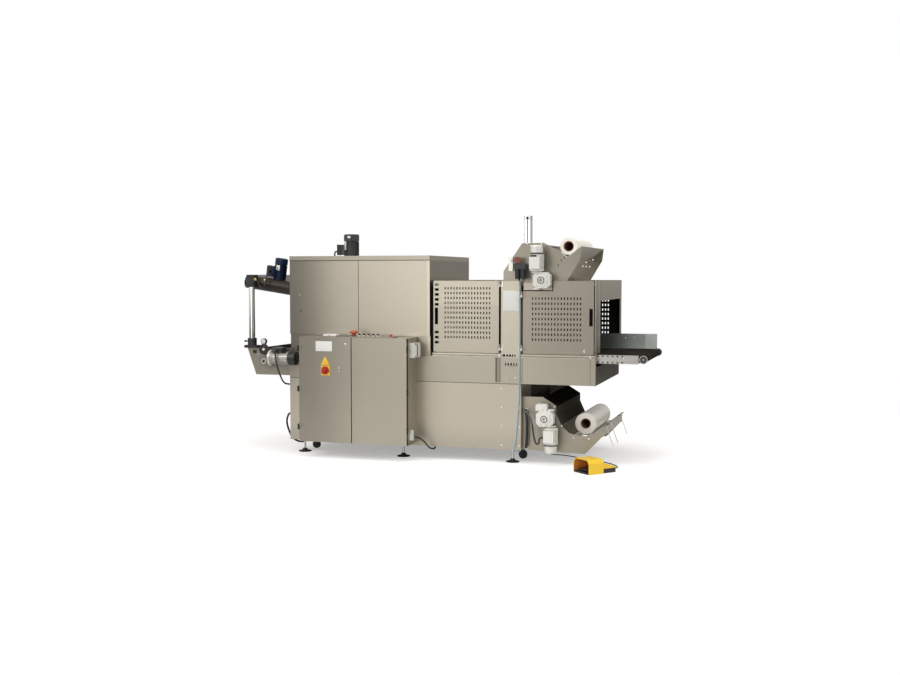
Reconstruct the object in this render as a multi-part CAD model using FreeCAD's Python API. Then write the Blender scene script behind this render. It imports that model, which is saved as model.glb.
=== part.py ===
import FreeCAD, Part
import math
import os
from FreeCAD import Vector

# Shrink wrapping machine, modelled in millimetres.
# x runs along the belts with the infeed at plus x, y runs from the front to the back,
# z runs up from the floor. The whole machine is moved to its middle when it is written.

# sheet and plate thickness, running fit at a pin, room kept between a tool cut and a face
sheet = 3.0
plate = 6.0
fit = 0.1
over = 1.0

# base cabinet
base_left = -2005.0
base_right = 80.0
base_depth = 1200.0
base_bottom = 107.0
base_top = 655.0
reveal = 5.0
leg_width = 123.0
foot_inset = 45.0
foot_radius = 56.0
caster_inset = 235.0
caster_radius = 36.0

# bed on the base, open at the top for the belts
bed_right = 695.0
bed_wall_top = 870.0
bed_floor = 806.0
bed_floor_thick = 4.0
sill_height = 28.0
sill_depth = 26.0

# seal station columns
column_left = -93.0
column_right = 76.0
column_depth = 56.0
slot_inset = 16.0
slot_length = 110.0
vent_inset = 37.0
vent_length = 102.0

# guard hood over the seal station
hood_left = -690.0
hood_right = 690.0
hood_top = 1503.0
hood_back = 1354.0
hood_plate_top = 1465.0
opening_front = 240.0
opening_back = 1265.0
opening_top = 1336.0
belt_pass = 910.0
hood_flange = 18.0

# guard doors
door_bottom = 905.0
door_top = 1500.0
door_depth = 20.0
door_gap = 17.0
door_end_gap = 12.0
hole_width = 10.0
hole_height = 20.0
hinge_y = -12.0
knuckle_radius = 10.0
pin_radius = 5.0
hinge_height = 48.0
hinge_reach = 30.0
hinge_leaf = 4.0
hinge_setback = 17.0
door_hinge_low = 926.0
left_hinge_high = 1451.0
right_hinge_high = 1364.0
handle_width = 28.0
handle_low = 1136.0
handle_high = 1276.0
notch_x = 345.0
notch_z = 1417.0

# heating tunnel, set in from the end of the base
tunnel_inset = 5.0
tunnel_right = -710.0
tunnel_depth = 1150.0
tunnel_bottom = 905.0
tunnel_top = 1672.0
tunnel_wall = 60.0
lid_height = 40.0
lid_overhang = 4.0
front_skin = 14.0
skin_bottom = 1034.0
mouth_front = 100.0
mouth_back = 1010.0
mouth_top = 1330.0
plinth_width = 30.0
seam_gap = 5.0

# belts
belt_top = 900.0
belt_thick = 4.0
belt_front = 66.0
belt_back = 986.0
roller_radius = 40.0
nose_radius = 24.0
shaft_radius = 12.0
nose_x = 1069.0
belt_join_x = -9.0
belt_join_gap = 75.0
outfeed_reach = 339.0
rail_thick = 5.0
rail_bottom = 834.0
rail_gap = 3.0
punch_radius = 6.0
punch_pitch = 39.0

# guide plate beside the infeed belt
guide_y = 1060.0
guide_left = 300.0
guide_bend = 950.0
guide_end = 1050.0
guide_top = 1028.0
guide_flare = 26.0

# electrical cabinet in front of the tunnel
cabinet_inset = 201.0
cabinet_width = 982.0
cabinet_front = -250.0
cabinet_bottom = 135.0
cabinet_top = 1025.0
cabinet_split = 484.0
cabinet_door_depth = 20.0
cabinet_clear = 6.0
cabinet_hinges = (235.0, 560.0, 905.0)
cabinet_knuckle = 7.0
cabinet_pin = 3.0
cabinet_knuckle_height = 24.0

# film unwinders, front and back plates
unwinder_front = 50.0
unwinder_back = 1090.0
feed_roller_radius = 30.0
cradle_radius = 28.0
cradle_spread = 63.5
film_length = 720.0
upper_film_front = 100.0
lower_film_front = 245.0
core_radius = 38.0
roll_clearance = 0.3
upper_roll_x = 449.0
upper_roll_z = 1781.0
upper_roll_radius = 69.0
lower_roll_x = 572.5
lower_roll_z = 317.0
lower_roll_radius = 88.0
lower_end_x = 742.0
tray_angle_left = 42.0
tray_angle_right = 37.0
tray_arm_left = 70.0
tray_arm_right = 152.0
upper_hub_x = 263.0
upper_hub_z = 1506.0
lower_hub_x = 294.0
lower_hub_z = 383.0

# worm gear motors of the unwinders
gearbox_width = 140.0
gearbox_height = 130.0
gearbox_depth = 86.0
gearbox_corner = 28.0
hub_radius = 30.0
drive_radius = 14.0
worm_offset = 45.0
motor_radius = 58.0
motor_length = 206.0
box_reach = 30.0
long_box_reach = 52.0
box_cover = 6.0

# pneumatic press cylinder over the seal bar
press_x = -8.5
press_y = 600.0
press_width = 64.0
press_top = 2060.0
press_rod_radius = 10.0
bridge_width = 150.0
bridge_inset = 90.0
seal_width = 44.0
seal_open = 1384.0
seal_height = 36.0

# fan motor on the tunnel
fan_inset = 376.0
fan_y = 500.0
fan_radius = 68.0
fan_height = 202.0

# cooling duct at the outfeed
duct_slope = 8.5
duct_reach = 462.0
duct_z = 1493.0
duct_height = 118.0
duct_front = 40.0
duct_back = 1010.0
duct_motor_place = 292.0
duct_motor_y = 130.0
duct_motor_radius = 56.0
duct_motor_length = 188.0
post_from_duct = 86.0
post_radius = 26.0
post_front_y = 12.0
post_back_y = 1060.0
clamp_height = 62.0

# drive of the outfeed belt
outfeed_drive_reach = 201.0
outfeed_drive_z = 797.0
outfeed_drive_y = -74.0
outfeed_motor_rise = 29.0
outfeed_motor_radius = 58.0
outfeed_motor_length = 232.0
wheel_reach = 226.0
wheel_z = 897.0
wheel_radius = 48.0
dial_radius = 26.0

# foot pedal, turned to face the operator
pedal_x = 732.0
pedal_y = -215.0
pedal_turn = 49.0
pedal_length = 270.0
pedal_width = 195.0
pedal_height = 115.0
pedal_hood_length = 145.0
pedal_tail_height = 36.0
pedal_wall = 5.0

# air unit in front of the upper unwinder
air_y = -30.0
air_left = -17.0
air_z = 1600.0
bowl_radius = 22.0
bowl_height = 86.0

# cables, hose and cord
cable_radius = 7.0
conduit_radius = 9.0
hose_radius = 4.0
cord_radius = 4.0
gland_radius = 11.0
gland_length = 14.0
cord_entry_y = 446.0
cord_entry_z = 150.0

# sizes that follow
tunnel_left = base_left + tunnel_inset
seam_x = (tunnel_left + tunnel_right) / 2
cabinet_left = base_left + cabinet_inset
cabinet_right = cabinet_left + cabinet_width
cabinet_gap_x = cabinet_left + cabinet_split
cabinet_body_front = cabinet_front + cabinet_door_depth + cabinet_clear
cabinet_axis_y = cabinet_front - 6.0
cabinet_left_axis = cabinet_left - 2.0
cabinet_right_axis = cabinet_right + 2.0
outfeed_x = base_left - outfeed_reach
outfeed_drive_x = base_left - outfeed_drive_reach
wheel_x = base_left - wheel_reach
infeed_start = belt_join_x + belt_join_gap
outfeed_start = belt_join_x - belt_join_gap
nose_z = belt_top - belt_thick - nose_radius
rail_top = belt_top + 4.0
rail_front_y = belt_front - rail_gap - rail_thick
rail_back_y = belt_back + rail_gap
duct_left = tunnel_left - duct_reach
post_x = duct_left + post_from_duct
outfeed_top = belt_top + 5.0
outfeed_back_y = post_back_y + 20.0
left_axis_x = column_left - door_gap / 2
right_axis_x = column_right + door_gap / 2
lid_top = tunnel_top + lid_height
fan_x = tunnel_left + fan_inset
duct_angle = math.radians(duct_slope)

along_x = Vector(1, 0, 0)
along_y = Vector(0, 1, 0)
along_z = Vector(0, 0, 1)
origin = Vector(0, 0, 0)


def block(x0, x1, y0, y1, z0, z1):
    size_x = abs(x1 - x0)
    size_y = abs(y1 - y0)
    return Part.makeBox(size_x, size_y, z1 - z0, Vector(min(x0, x1), min(y0, y1), z0))


def rod(x, y, z, radius, length, axis):
    return Part.makeCylinder(radius, length, Vector(x, y, z), axis)


def profile_xz(points, y0, y1):
    corners = [Vector(x, y0, z) for x, z in points]
    face = Part.Face(Part.makePolygon(corners + corners[:1]))
    return face.extrude(Vector(0, y1 - y0, 0))


def profile_yz(points, x0, x1):
    corners = [Vector(x0, y, z) for y, z in points]
    face = Part.Face(Part.makePolygon(corners + corners[:1]))
    return face.extrude(Vector(x1 - x0, 0, 0))


def join(shapes):
    first = shapes[0]
    if len(shapes) > 1:
        first = first.fuse(shapes[1:])
    return first.removeSplitter()


def group(shapes):
    return Part.makeCompound(shapes)


# where a route turns at a point: start, middle and end of its arc, and its radius
def corner_arc(before, point, after, share):
    incoming = (before - point).normalize()
    outgoing = (after - point).normalize()
    shorter = min((before - point).Length, (after - point).Length)
    trim = share * shorter
    half = (math.pi - incoming.getAngle(outgoing)) / 2
    radius = trim / math.tan(half)
    inward = (incoming + outgoing).normalize()
    depth = radius / math.cos(half) - radius
    return point + incoming * trim, point + inward * depth, point + outgoing * trim, radius


# a round tube along straight runs that are joined by tangent arcs
def tube(route, radius):
    points = [Vector(x, y, z) for x, y, z in route]
    edges = []
    radii = []
    here = points[0]
    for i in range(1, len(points) - 1):
        start, middle, end, bend = corner_arc(points[i - 1], points[i], points[i + 1], 0.45)
        edges.append(Part.LineSegment(here, start).toShape())
        edges.append(Part.Arc(start, middle, end).toShape())
        radii.append(bend)
        here = end
    edges.append(Part.LineSegment(here, points[-1]).toShape())
    path = Part.Wire(edges)
    first_run = points[1] - points[0]
    section = Part.Wire([Part.Circle(points[0], first_run, radius).toShape()])
    return path.makePipeShell([section], True, False), path.Length, radii


foot_x = (base_right - 80.0, (base_left + base_right) / 2, base_left + 120.0)
caster_x = (base_right - 38.0, base_left + 145.0)


def base_cabinet():
    body = block(base_left, base_right, 0, base_depth, base_bottom, base_top)
    groove = block(base_left - over, base_right + over, -over, sheet, base_top - reveal, base_top + over)
    leg = block(base_right - leg_width, base_right, -sheet, 0, base_bottom, base_top - reveal)
    gland = rod(base_right, cord_entry_y, cord_entry_z, gland_radius, gland_length, along_x)
    return join([body.cut(groove), leg, gland])


# disc, collar, stem and lock nut of one foot, turned about its stem
def levelling_foot(x, y):
    disc_edge = 6.0
    collar_top = 28.0
    stem = 9.0
    nut_height = 18.0
    outline = [(0, 0), (foot_radius, 0), (foot_radius, disc_edge), (26, 14), (16, collar_top)]
    outline = outline + [(stem, collar_top), (stem, base_bottom), (0, base_bottom)]
    corners = [Vector(r, 0, z) for r, z in outline]
    face = Part.Face(Part.makePolygon(corners + corners[:1]))
    turned = face.revolve(origin, along_z, 360)
    nut = rod(0, 0, base_bottom - nut_height, 2 * stem, nut_height, along_z)
    foot = join([turned, nut])
    foot.translate(Vector(x, y, 0))
    return foot


def levelling_feet():
    rows = (foot_inset, base_depth - foot_inset)
    return group([levelling_foot(x, y) for x in foot_x for y in rows])


def caster(x, y):
    wheel_half = 15.0
    fork_half = 24.0
    fork_thick = 6.0
    top_half = 34.0
    top_thick = 8.0
    wheel = rod(x, y - wheel_half, caster_radius, caster_radius, 2 * wheel_half, along_y)
    wheel = wheel.makeFillet(6, wheel.Edges)
    axle = rod(x, y - fork_half, caster_radius, 6, 2 * fork_half, along_y)
    bridge_z = base_bottom - top_thick
    bridge = block(x - 26, x + 26, y - fork_half, y + fork_half, bridge_z - 18, bridge_z)
    shapes = [wheel, axle, bridge]
    for y0 in (y - fork_half, y + fork_half - fork_thick):
        shapes.append(block(x - 14, x + 14, y0, y0 + fork_thick, caster_radius - 10, bridge_z))
    shapes.append(block(x - top_half, x + top_half, y - top_half, y + top_half, bridge_z, base_bottom))
    return join(shapes)


def casters():
    rows = (caster_inset, base_depth - caster_inset)
    return group([caster(x, y) for x in caster_x for y in rows])


slot_x0 = column_left + slot_inset
slot_x1 = slot_x0 + slot_length
vent_x0 = column_left + vent_inset
vent_low = bed_floor - 6.0
vent_high = bed_floor + 18.0


def transfer_bed():
    low = bed_floor - bed_floor_thick
    front = block(base_left, bed_right, 0, sheet, base_top, bed_wall_top)
    back = block(base_left, bed_right, base_depth - sheet, base_depth, base_top, bed_wall_top)
    floor = block(base_left, bed_right, 0, base_depth, low, bed_floor)
    end_plate = block(bed_right - sheet, bed_right, 0, base_depth, base_top, bed_floor)
    left_plate = block(base_left, base_left + sheet, 0, base_depth, base_top, bed_floor)
    film_half = 30.0
    film_slot = block(press_x - film_half, press_x + film_half, belt_front + film_half, belt_back - film_half,
                      low - over, bed_floor + over)
    bed = join([front, back, floor, end_plate, left_plate]).cut(film_slot)
    vent = block(vent_x0, vent_x0 + vent_length, -over, sheet, vent_low, vent_high)
    return bed.cut(vent)


def seal_column(y0, y1, z0):
    top = hood_plate_top - sheet
    outer = block(column_left, column_right, y0, y1, z0, top)
    inner = block(column_left + sheet, column_right - sheet, y0 + sheet, y1 - sheet, z0 - over, top + over)
    return outer.cut(inner)


def seal_columns():
    slot_z = bed_wall_top + 8.0
    slot_height = 18.0
    face = block(column_left, column_right, 0, sheet, bed_wall_top, hood_top - sheet)
    slot = block(slot_x0, slot_x1, -over, 2 * sheet + over, slot_z, slot_z + slot_height)
    vent = block(vent_x0, vent_x0 + vent_length, 0, 2 * sheet + over, vent_low, vent_high)
    front = join([seal_column(sheet, column_depth, bed_floor), face]).cut(group([slot, vent]))
    back = seal_column(hood_back - column_depth, hood_back, bed_wall_top)
    return group([front, back])


# front sills with the rail groove, and the shelf that carries the rear guard
def guard_sills():
    top = bed_wall_top + sill_height
    x0 = hood_left + sheet
    x1 = hood_right - sheet
    lip = 8.0
    groove_width = 6.0
    groove = block(hood_left - over, hood_right + over, -over, groove_width, bed_wall_top + lip,
                   bed_wall_top + lip + groove_width)
    left = block(x0, column_left, 0, sill_depth, bed_wall_top, top).cut(groove)
    right = block(column_right, x1, 0, sill_depth, bed_wall_top, top).cut(groove)
    shelf = block(hood_left, hood_right, base_depth, hood_back, bed_wall_top - sheet, bed_wall_top)
    left_web = block(x0, column_left, hood_back - sheet, hood_back, bed_wall_top, top)
    right_web = block(column_right, x1, hood_back - sheet, hood_back, bed_wall_top, top)
    return group([left, right, join([shelf, left_web, right_web])])


# one end of the hood: a sheet with its mouth and folded posts inside
def hood_end(x0, inward, mouth_y0, mouth_y1, mouth_z1):
    x1 = x0 + inward * sheet
    xf = x0 + inward * (sheet + hood_flange)
    xa = min(x0, x1) - over
    xb = max(x0, x1) + over
    face = block(x0, x1, 0, hood_back, bed_wall_top, hood_top)
    mouth = block(xa, xb, mouth_y0, mouth_y1, bed_wall_top - over, mouth_z1)
    belt_way = block(xa, xb, column_depth, mouth_y1, bed_wall_top - over, belt_pass)
    top = hood_plate_top - sheet
    post_depth = 44.0
    rim_gap = 20.0
    front_post = block(x0, xf, sill_depth + sheet, column_depth, bed_floor, top)
    back_post = block(x0, xf, hood_back - post_depth, hood_back - sheet, bed_wall_top, top)
    rim = block(x0, xf, mouth_y0 - rim_gap, mouth_y0 - rim_gap + sheet, belt_pass, top)
    return join([face.cut(join([mouth, belt_way])), front_post, back_post, rim])


def hood_end_frames():
    right = hood_end(hood_right, -1, opening_front, opening_back, opening_top)
    left = hood_end(hood_left, 1, mouth_front, mouth_back, mouth_top)
    return group([left, right])


# roof sheet with the slot of the sealing bar, its front lips, and the fixed panel behind the gear motor
def hood_roof():
    z0 = hood_plate_top - sheet
    x0 = hood_left + sheet
    x1 = hood_right - sheet
    lip_height = 34.0
    slot_half = 60.0
    slot_inset_y = 130.0
    roof = block(x0, x1, sill_depth, hood_back - sheet, z0, hood_plate_top)
    film_slot = block(press_x - slot_half, press_x + slot_half, slot_inset_y, unwinder_back - 40,
                      z0 - over, hood_plate_top + over)
    left_lip = block(x0, column_left, sill_depth, sill_depth + sheet, z0 - lip_height, z0)
    right_lip = block(column_right, x1, sill_depth, sill_depth + sheet, z0 - lip_height, z0)
    panel_gap = 8.0
    panel_x0 = column_right + door_gap + 6.0
    panel = block(panel_x0, notch_x - panel_gap, 0, sill_depth, notch_z + panel_gap, hood_plate_top + 20)
    return join([roof.cut(film_slot), left_lip, right_lip, panel])


def perforation(first_x, pitch_x, columns, first_z, pitch_z, rows, y):
    holes = []
    cut_depth = 8.0
    for column in range(columns):
        x = first_x + column * pitch_x
        for row in range(rows):
            z = first_z + row * pitch_z
            holes.append(block(x, x + hole_width, y - cut_depth, y + cut_depth, z, z + hole_height))
    return group(holes)


left_holes_x = column_left - 486.0
right_holes_x = column_right + 94.0
left_pitch_x = 25.7
left_pitch_z = 40.7
right_pitch_x = 26.3
right_pitch_z = 41.9
left_holes_z = door_bottom + 116.0
right_holes_z = door_bottom + 107.0
hole_columns = 16
left_rows = 11
right_rows = 9


def rear_guard_panel(x0, x1, first_x):
    panel = block(x0, x1, hood_back - sheet, hood_back, bed_wall_top + sill_height, hood_top)
    holes = perforation(first_x, right_pitch_x, hole_columns, right_holes_z, right_pitch_z, right_rows, hood_back)
    return panel.cut(holes)


def rear_guard_panels():
    left = rear_guard_panel(hood_left + sheet, column_left, left_holes_x)
    right = rear_guard_panel(column_right, hood_right - sheet, right_holes_x)
    return group([left, right])


def door_pan(x0, x1, y0, depth, z0, z1):
    rim = block(x0, x1, y0, y0 + depth, z0, z1)
    hollow = block(x0 + sheet, x1 - sheet, y0 + sheet, y0 + depth + over, z0 + sheet, z1 - sheet)
    return rim.cut(hollow)


# side is -1 for the left door and 1 for the right one
def door_leaf(axis_x, side, z):
    edge = axis_x + side * hinge_setback
    middle = z + hinge_height / 2 + 0.5
    top = z + hinge_height
    leaf = block(edge, axis_x + side * hinge_reach, -hinge_leaf, 0, z, top)
    tab = block(axis_x, edge, hinge_y + 6, -2, middle, top)
    knuckle = rod(axis_x, hinge_y, middle, knuckle_radius, top - middle, along_z)
    bore = rod(axis_x, hinge_y, middle - over, pin_radius + fit, hinge_height, along_z)
    return join([leaf, tab, knuckle]).cut(bore)


def post_leaf(axis_x, side, z):
    middle = z + hinge_height / 2 - 0.5
    reach = hinge_reach - 2
    low_leaf = block(axis_x, axis_x + side * reach, -hinge_leaf, 0, z, middle)
    high_leaf = block(axis_x + side * hinge_setback, axis_x + side * reach, -hinge_leaf, 0, z, z + hinge_height)
    knuckle = rod(axis_x, hinge_y, z, knuckle_radius, middle - z, along_z)
    pin = rod(axis_x, hinge_y, z, pin_radius, hinge_height, along_z)
    return join([low_leaf, high_leaf, knuckle, pin])


def guard_hinges():
    leaves = []
    for z in (door_hinge_low, left_hinge_high):
        leaves.append(post_leaf(left_axis_x, 1, z))
    for z in (door_hinge_low, right_hinge_high):
        leaves.append(post_leaf(right_axis_x, -1, z))
    return group(leaves)


# height of the middle of each latch slot at the free end of the left door
latch_slots = (81.0, 123.0, 165.0, 398.0, 439.0, 481.0, 522.0, 564.0)


def guard_door_left():
    x0 = hood_left + door_end_gap + 1
    x1 = column_left - door_gap
    latch_x = x0 + 12
    latch_width = 34.0
    latch_half = 10.5
    pan = door_pan(x0, x1, 0, door_depth, door_bottom, door_top)
    cuts = [perforation(left_holes_x, left_pitch_x, hole_columns, left_holes_z, left_pitch_z, left_rows, 0)]
    for height in latch_slots:
        z = door_bottom + height
        cuts.append(block(latch_x, latch_x + latch_width, -over, 2 * sheet, z - latch_half, z + latch_half))
    cuts.append(block(latch_x, latch_x + handle_width, -over, 2 * sheet, handle_low, handle_high))
    leaves = [door_leaf(left_axis_x, -1, z) for z in (door_hinge_low, left_hinge_high)]
    return join([pan.cut(group(cuts))] + leaves)


def guard_door_right():
    x0 = column_right + door_gap
    x1 = hood_right - door_end_gap
    deep = door_depth + over
    tall = block(x0, x1, 0, door_depth, door_bottom, door_top)
    notch = block(x0 - over, notch_x, -over, deep, notch_z, door_top + over)
    low = block(x0 + sheet, x1 - sheet, sheet, deep, door_bottom + sheet, notch_z - sheet)
    high = block(notch_x + sheet, x1 - sheet, sheet, deep, notch_z - 20, door_top - sheet)
    holes = perforation(right_holes_x, right_pitch_x, hole_columns, right_holes_z, right_pitch_z, right_rows, 0)
    handle_x = x1 - 9 - handle_width
    handle = block(handle_x, handle_x + handle_width, -over, 2 * sheet, handle_low, handle_high)
    pan = tall.cut(notch).cut(join([low, high])).cut(group([holes, handle]))
    leaves = [door_leaf(right_axis_x, 1, z) for z in (door_hinge_low, right_hinge_high)]
    return join([pan] + leaves)


# insulated walls and roof with a mouth at each end, on two plinth strips
def tunnel_shell():
    low = tunnel_bottom
    front = block(tunnel_left, tunnel_right, front_skin, tunnel_wall, low, tunnel_top)
    back_y = tunnel_depth - tunnel_wall
    back = block(tunnel_left, tunnel_right, back_y, tunnel_depth, low, tunnel_top)
    roof = block(tunnel_left, tunnel_right, front_skin, tunnel_depth, tunnel_top - tunnel_wall, tunnel_top)
    shapes = [front, back, roof]
    for x in (tunnel_left, tunnel_right - tunnel_wall):
        end = block(x, x + tunnel_wall, front_skin, tunnel_depth, low, tunnel_top)
        mouth = block(x - over, x + tunnel_wall + over, mouth_front, mouth_back, low - over, mouth_top)
        shapes.append(end.cut(mouth))
    for y in (front_skin + 6, back_y):
        shapes.append(block(tunnel_left, tunnel_right, y, y + plinth_width, bed_floor, low))
    return join(shapes)


def tunnel_front_panels():
    left = block(tunnel_left, seam_x - seam_gap / 2, 0, front_skin, skin_bottom, tunnel_top)
    right = block(seam_x + seam_gap / 2, tunnel_right, 0, front_skin, skin_bottom, tunnel_top)
    probe = rod(tunnel_left + 95, -over, 1378, 8, 6, along_y)
    return group([left.cut(probe), right])


def tunnel_lid():
    z = tunnel_top
    shadow = 4.0
    lid = block(tunnel_left, tunnel_right, -lid_overhang, tunnel_depth, z, lid_top)
    groove = block(tunnel_left - over, tunnel_right + over, -lid_overhang - over, 0, z - over, z + shadow)
    return lid.cut(groove)


# a ribbed motor that stands on its flange at the origin, its terminal box turned to box_side
def electric_motor(radius, length, box_side, reach_out, cowl_share):
    ribs = 24
    rib_half = 1.6
    rib_height = 7.0
    flange_thick = 12.0
    body_end = length * 0.68
    shapes = [Part.makeCylinder(radius, flange_thick), Part.makeCylinder(radius - rib_height, length * 0.9)]
    for i in range(ribs):
        rib = block(radius - 2 * rib_height, radius, -rib_half, rib_half, flange_thick, body_end)
        rib.rotate(origin, along_z, i * 360.0 / ribs)
        shapes.append(rib)
    cowl = Part.makeCylinder(radius * cowl_share, length - body_end - 6, Vector(0, 0, body_end + 6), along_z)
    top_edges = [edge for edge in cowl.Edges if edge.BoundBox.ZMin > length - over]
    shapes.append(cowl.makeFillet(9, top_edges))
    box_low = flange_thick + 6
    box_height = 92.0
    box_half = 40.0
    reach = radius + reach_out
    box = block(radius - 14, reach, -box_half, box_half, box_low, box_low + box_height)
    box_lid = block(reach, reach + box_cover, -box_half - 2, box_half + 2, box_low - 2, box_low + box_height + 2)
    terminal = join([box, box_lid])
    terminal.rotate(origin, along_z, box_side)
    return join(shapes + [terminal])


def tunnel_fan_motor():
    motor = electric_motor(fan_radius, fan_height, 180, long_box_reach, 1.02)
    foot = block(-78, 78, -78, 78, 0, 8)
    motor = join([motor, foot])
    motor.translate(Vector(fan_x, fan_y, lid_top))
    return motor


def tilt_duct(shape):
    shape.rotate(Vector(duct_left, 0, duct_z), along_y, duct_slope)
    return shape


# the duct slopes down to the tunnel and its two long sides are round
def cooling_duct():
    reach = duct_reach / math.cos(duct_angle) + 30
    half = duct_height / 2
    y0 = duct_front + half
    y1 = duct_back - half
    middle = block(duct_left, duct_left + reach, y0, y1, duct_z - half, duct_z + half)
    front = rod(duct_left, y0, duct_z, half, reach, along_x)
    back = rod(duct_left, y1, duct_z, half, reach, along_x)
    duct = tilt_duct(join([middle, front, back]))
    beyond = block(tunnel_left, tunnel_left + duct_reach, -duct_back, 2 * duct_back, duct_z - duct_reach,
                   duct_z + duct_reach)
    return duct.cut(beyond)


def cooling_motor():
    motor = electric_motor(duct_motor_radius, duct_motor_length, 180, long_box_reach, 1.0)
    motor.translate(Vector(duct_left + duct_motor_place, duct_motor_y, duct_z + duct_height / 2))
    return tilt_duct(motor)


def duct_posts():
    z0 = outfeed_top + 15
    top = duct_z - 20
    rows = (post_front_y, post_back_y)
    return group([rod(post_x, y, z0, post_radius, top - z0, along_z) for y in rows])


# foot clamps on the side plates, and heads that hold the duct
def duct_clamps():
    foot_half = 62.0
    foot_depth = 34.0
    foot_top = outfeed_top + 24
    collar_radius = 40.0
    head_half = 40.0
    duct = cooling_duct()
    shapes = []
    for y, inner in ((post_front_y, duct_front + 25), (post_back_y, duct_back - 25)):
        foot = block(post_x - foot_half, post_x + foot_half, y - foot_depth, y + foot_depth, outfeed_top, foot_top)
        collar = rod(post_x, y, foot_top, collar_radius, clamp_height, along_z)
        lever = rod(post_x - collar_radius + 4, y, foot_top + 34, 6, 30, Vector(-1, 0, 0))
        ball = Part.makeSphere(10, Vector(post_x - collar_radius - 28, y, foot_top + 34))
        bore = rod(post_x, y, outfeed_top + 15, post_radius, clamp_height + 40, along_z)
        shapes.append(join([foot, collar, lever, ball]).cut(bore))
        y0 = min(y - foot_depth, inner)
        y1 = max(y + foot_depth, inner)
        head = block(post_x - head_half, post_x + head_half, y0, y1, duct_z - 50, duct_z + 58)
        upright = [edge for edge in head.Edges if abs(edge.tangentAt(0).z) > 0.9]
        head = head.makeFillet(14, upright)
        socket = rod(post_x, y, duct_z - 60, post_radius, 40, along_z)
        shapes.append(head.cut(socket).cut(duct))
    return group(shapes)


def outfeed_side_plates():
    low = bed_floor - 136
    outline = [(outfeed_x - 73, outfeed_top), (outfeed_x + 10, low), (base_left, low), (base_left, outfeed_top)]
    front = profile_xz(outline, 0, plate)
    back = profile_xz(outline, outfeed_back_y, outfeed_back_y + plate)
    return group([front, back])


# a band round two rollers whose tops are level: two round ends and the strip between their tangents
def band(x0, r0, x1, r1, grow, y0, y1):
    top = belt_top - belt_thick
    z0 = top - r0
    z1 = top - r1
    lean = math.atan2(z1 - z0, x1 - x0)
    down = lean - math.pi / 2 + math.asin((r0 - r1) / math.hypot(x1 - x0, z1 - z0))
    a = r0 + grow
    b = r1 + grow
    low0 = (x0 + a * math.cos(down), z0 + a * math.sin(down))
    low1 = (x1 + b * math.cos(down), z1 + b * math.sin(down))
    strip = profile_xz([(x0, top + grow), low0, low1, (x1, top + grow)], y0, y1)
    ends = [rod(x0, y0, z0, a, y1 - y0, along_y), rod(x1, y0, z1, b, y1 - y0, along_y)]
    return join([strip] + ends)


def belt_loop(x0, r0, x1, r1):
    outer = band(x0, r0, x1, r1, belt_thick, belt_front, belt_back)
    inner = band(x0, r0, x1, r1, 0, belt_front - over, belt_back + over)
    return outer.cut(inner)


def conveyor_belts():
    outfeed = belt_loop(outfeed_x, nose_radius, outfeed_start, roller_radius)
    infeed = belt_loop(infeed_start, roller_radius, nose_x, nose_radius)
    return group([outfeed, infeed])


def belt_roller(x, radius, y0, y1):
    face_inset = 2.0
    width = belt_back - belt_front - 2 * face_inset
    z = belt_top - belt_thick - radius
    body = rod(x, belt_front + face_inset, z, radius, width, along_y)
    shaft = rod(x, y0, z, shaft_radius, y1 - y0, along_y)
    return join([body, shaft])


bearing_thick = 12.0


def belt_rollers():
    y0 = rail_front_y + rail_thick
    outer = belt_roller(outfeed_x, nose_radius, plate, outfeed_back_y)
    inner = belt_roller(outfeed_start, roller_radius, y0, rail_back_y)
    first = belt_roller(infeed_start, roller_radius, y0, rail_back_y)
    bearing_y0 = rail_front_y - bearing_thick
    nose = belt_roller(nose_x, nose_radius, bearing_y0, rail_back_y + rail_thick + bearing_thick)
    return group([outer, inner, first, nose])


def side_rail(y, x0, x1, foot_places):
    rail = block(x0, x1, y, y + rail_thick, rail_bottom, rail_top)
    foot_width = 60.0
    feet = [block(x, x + foot_width, y, y + rail_thick, bed_floor, rail_bottom) for x in foot_places]
    return join([rail] + feet)


# two rows of round holes along a rail, from the hood to near the nose
def rail_punches(y, x1):
    row_inset = 10.0
    end_inset = 110.0
    count = int((x1 - end_inset - hood_right) / punch_pitch) + 1
    holes = []
    for i in range(count):
        x = hood_right + 12 + i * punch_pitch
        for z in (rail_top - row_inset, rail_bottom + row_inset):
            holes.append(rod(x, y - over, z, punch_radius, rail_thick + 2 * over, along_y))
    return group(holes)


# round bearing and arm that hold the nose roller on the outside of a rail
def nose_bearing(y0):
    ring_radius = 34.0
    arm_reach = 130.0
    arm_half = 12.0
    ring = rod(nose_x, y0, nose_z, ring_radius, bearing_thick, along_y)
    arm = block(nose_x - arm_reach, nose_x, y0, y0 + bearing_thick, nose_z - arm_half, nose_z + arm_half)
    bore = rod(nose_x, y0 - over, nose_z, shaft_radius, bearing_thick + 2 * over, along_y)
    return join([ring, arm]).cut(bore)


def belt_side_rails():
    end_lap = 14.0
    nose_cover = 40.0
    infeed_end = nose_x - nose_cover
    tunnel_feet = [base_left + 45, base_left + 705, base_left + 1245, outfeed_start - 96]
    infeed_feet = [infeed_start + 54, bed_right - 95]
    shapes = []
    for y, bearing_y in ((rail_front_y, rail_front_y - bearing_thick), (rail_back_y, rail_back_y + rail_thick)):
        infeed = side_rail(y, infeed_start - end_lap, infeed_end, infeed_feet).cut(rail_punches(y, infeed_end))
        shapes.append(join([infeed, nose_bearing(bearing_y)]))
        shapes.append(side_rail(y, base_left - 60, outfeed_start + end_lap, tunnel_feet))
    return group(shapes)


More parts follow.
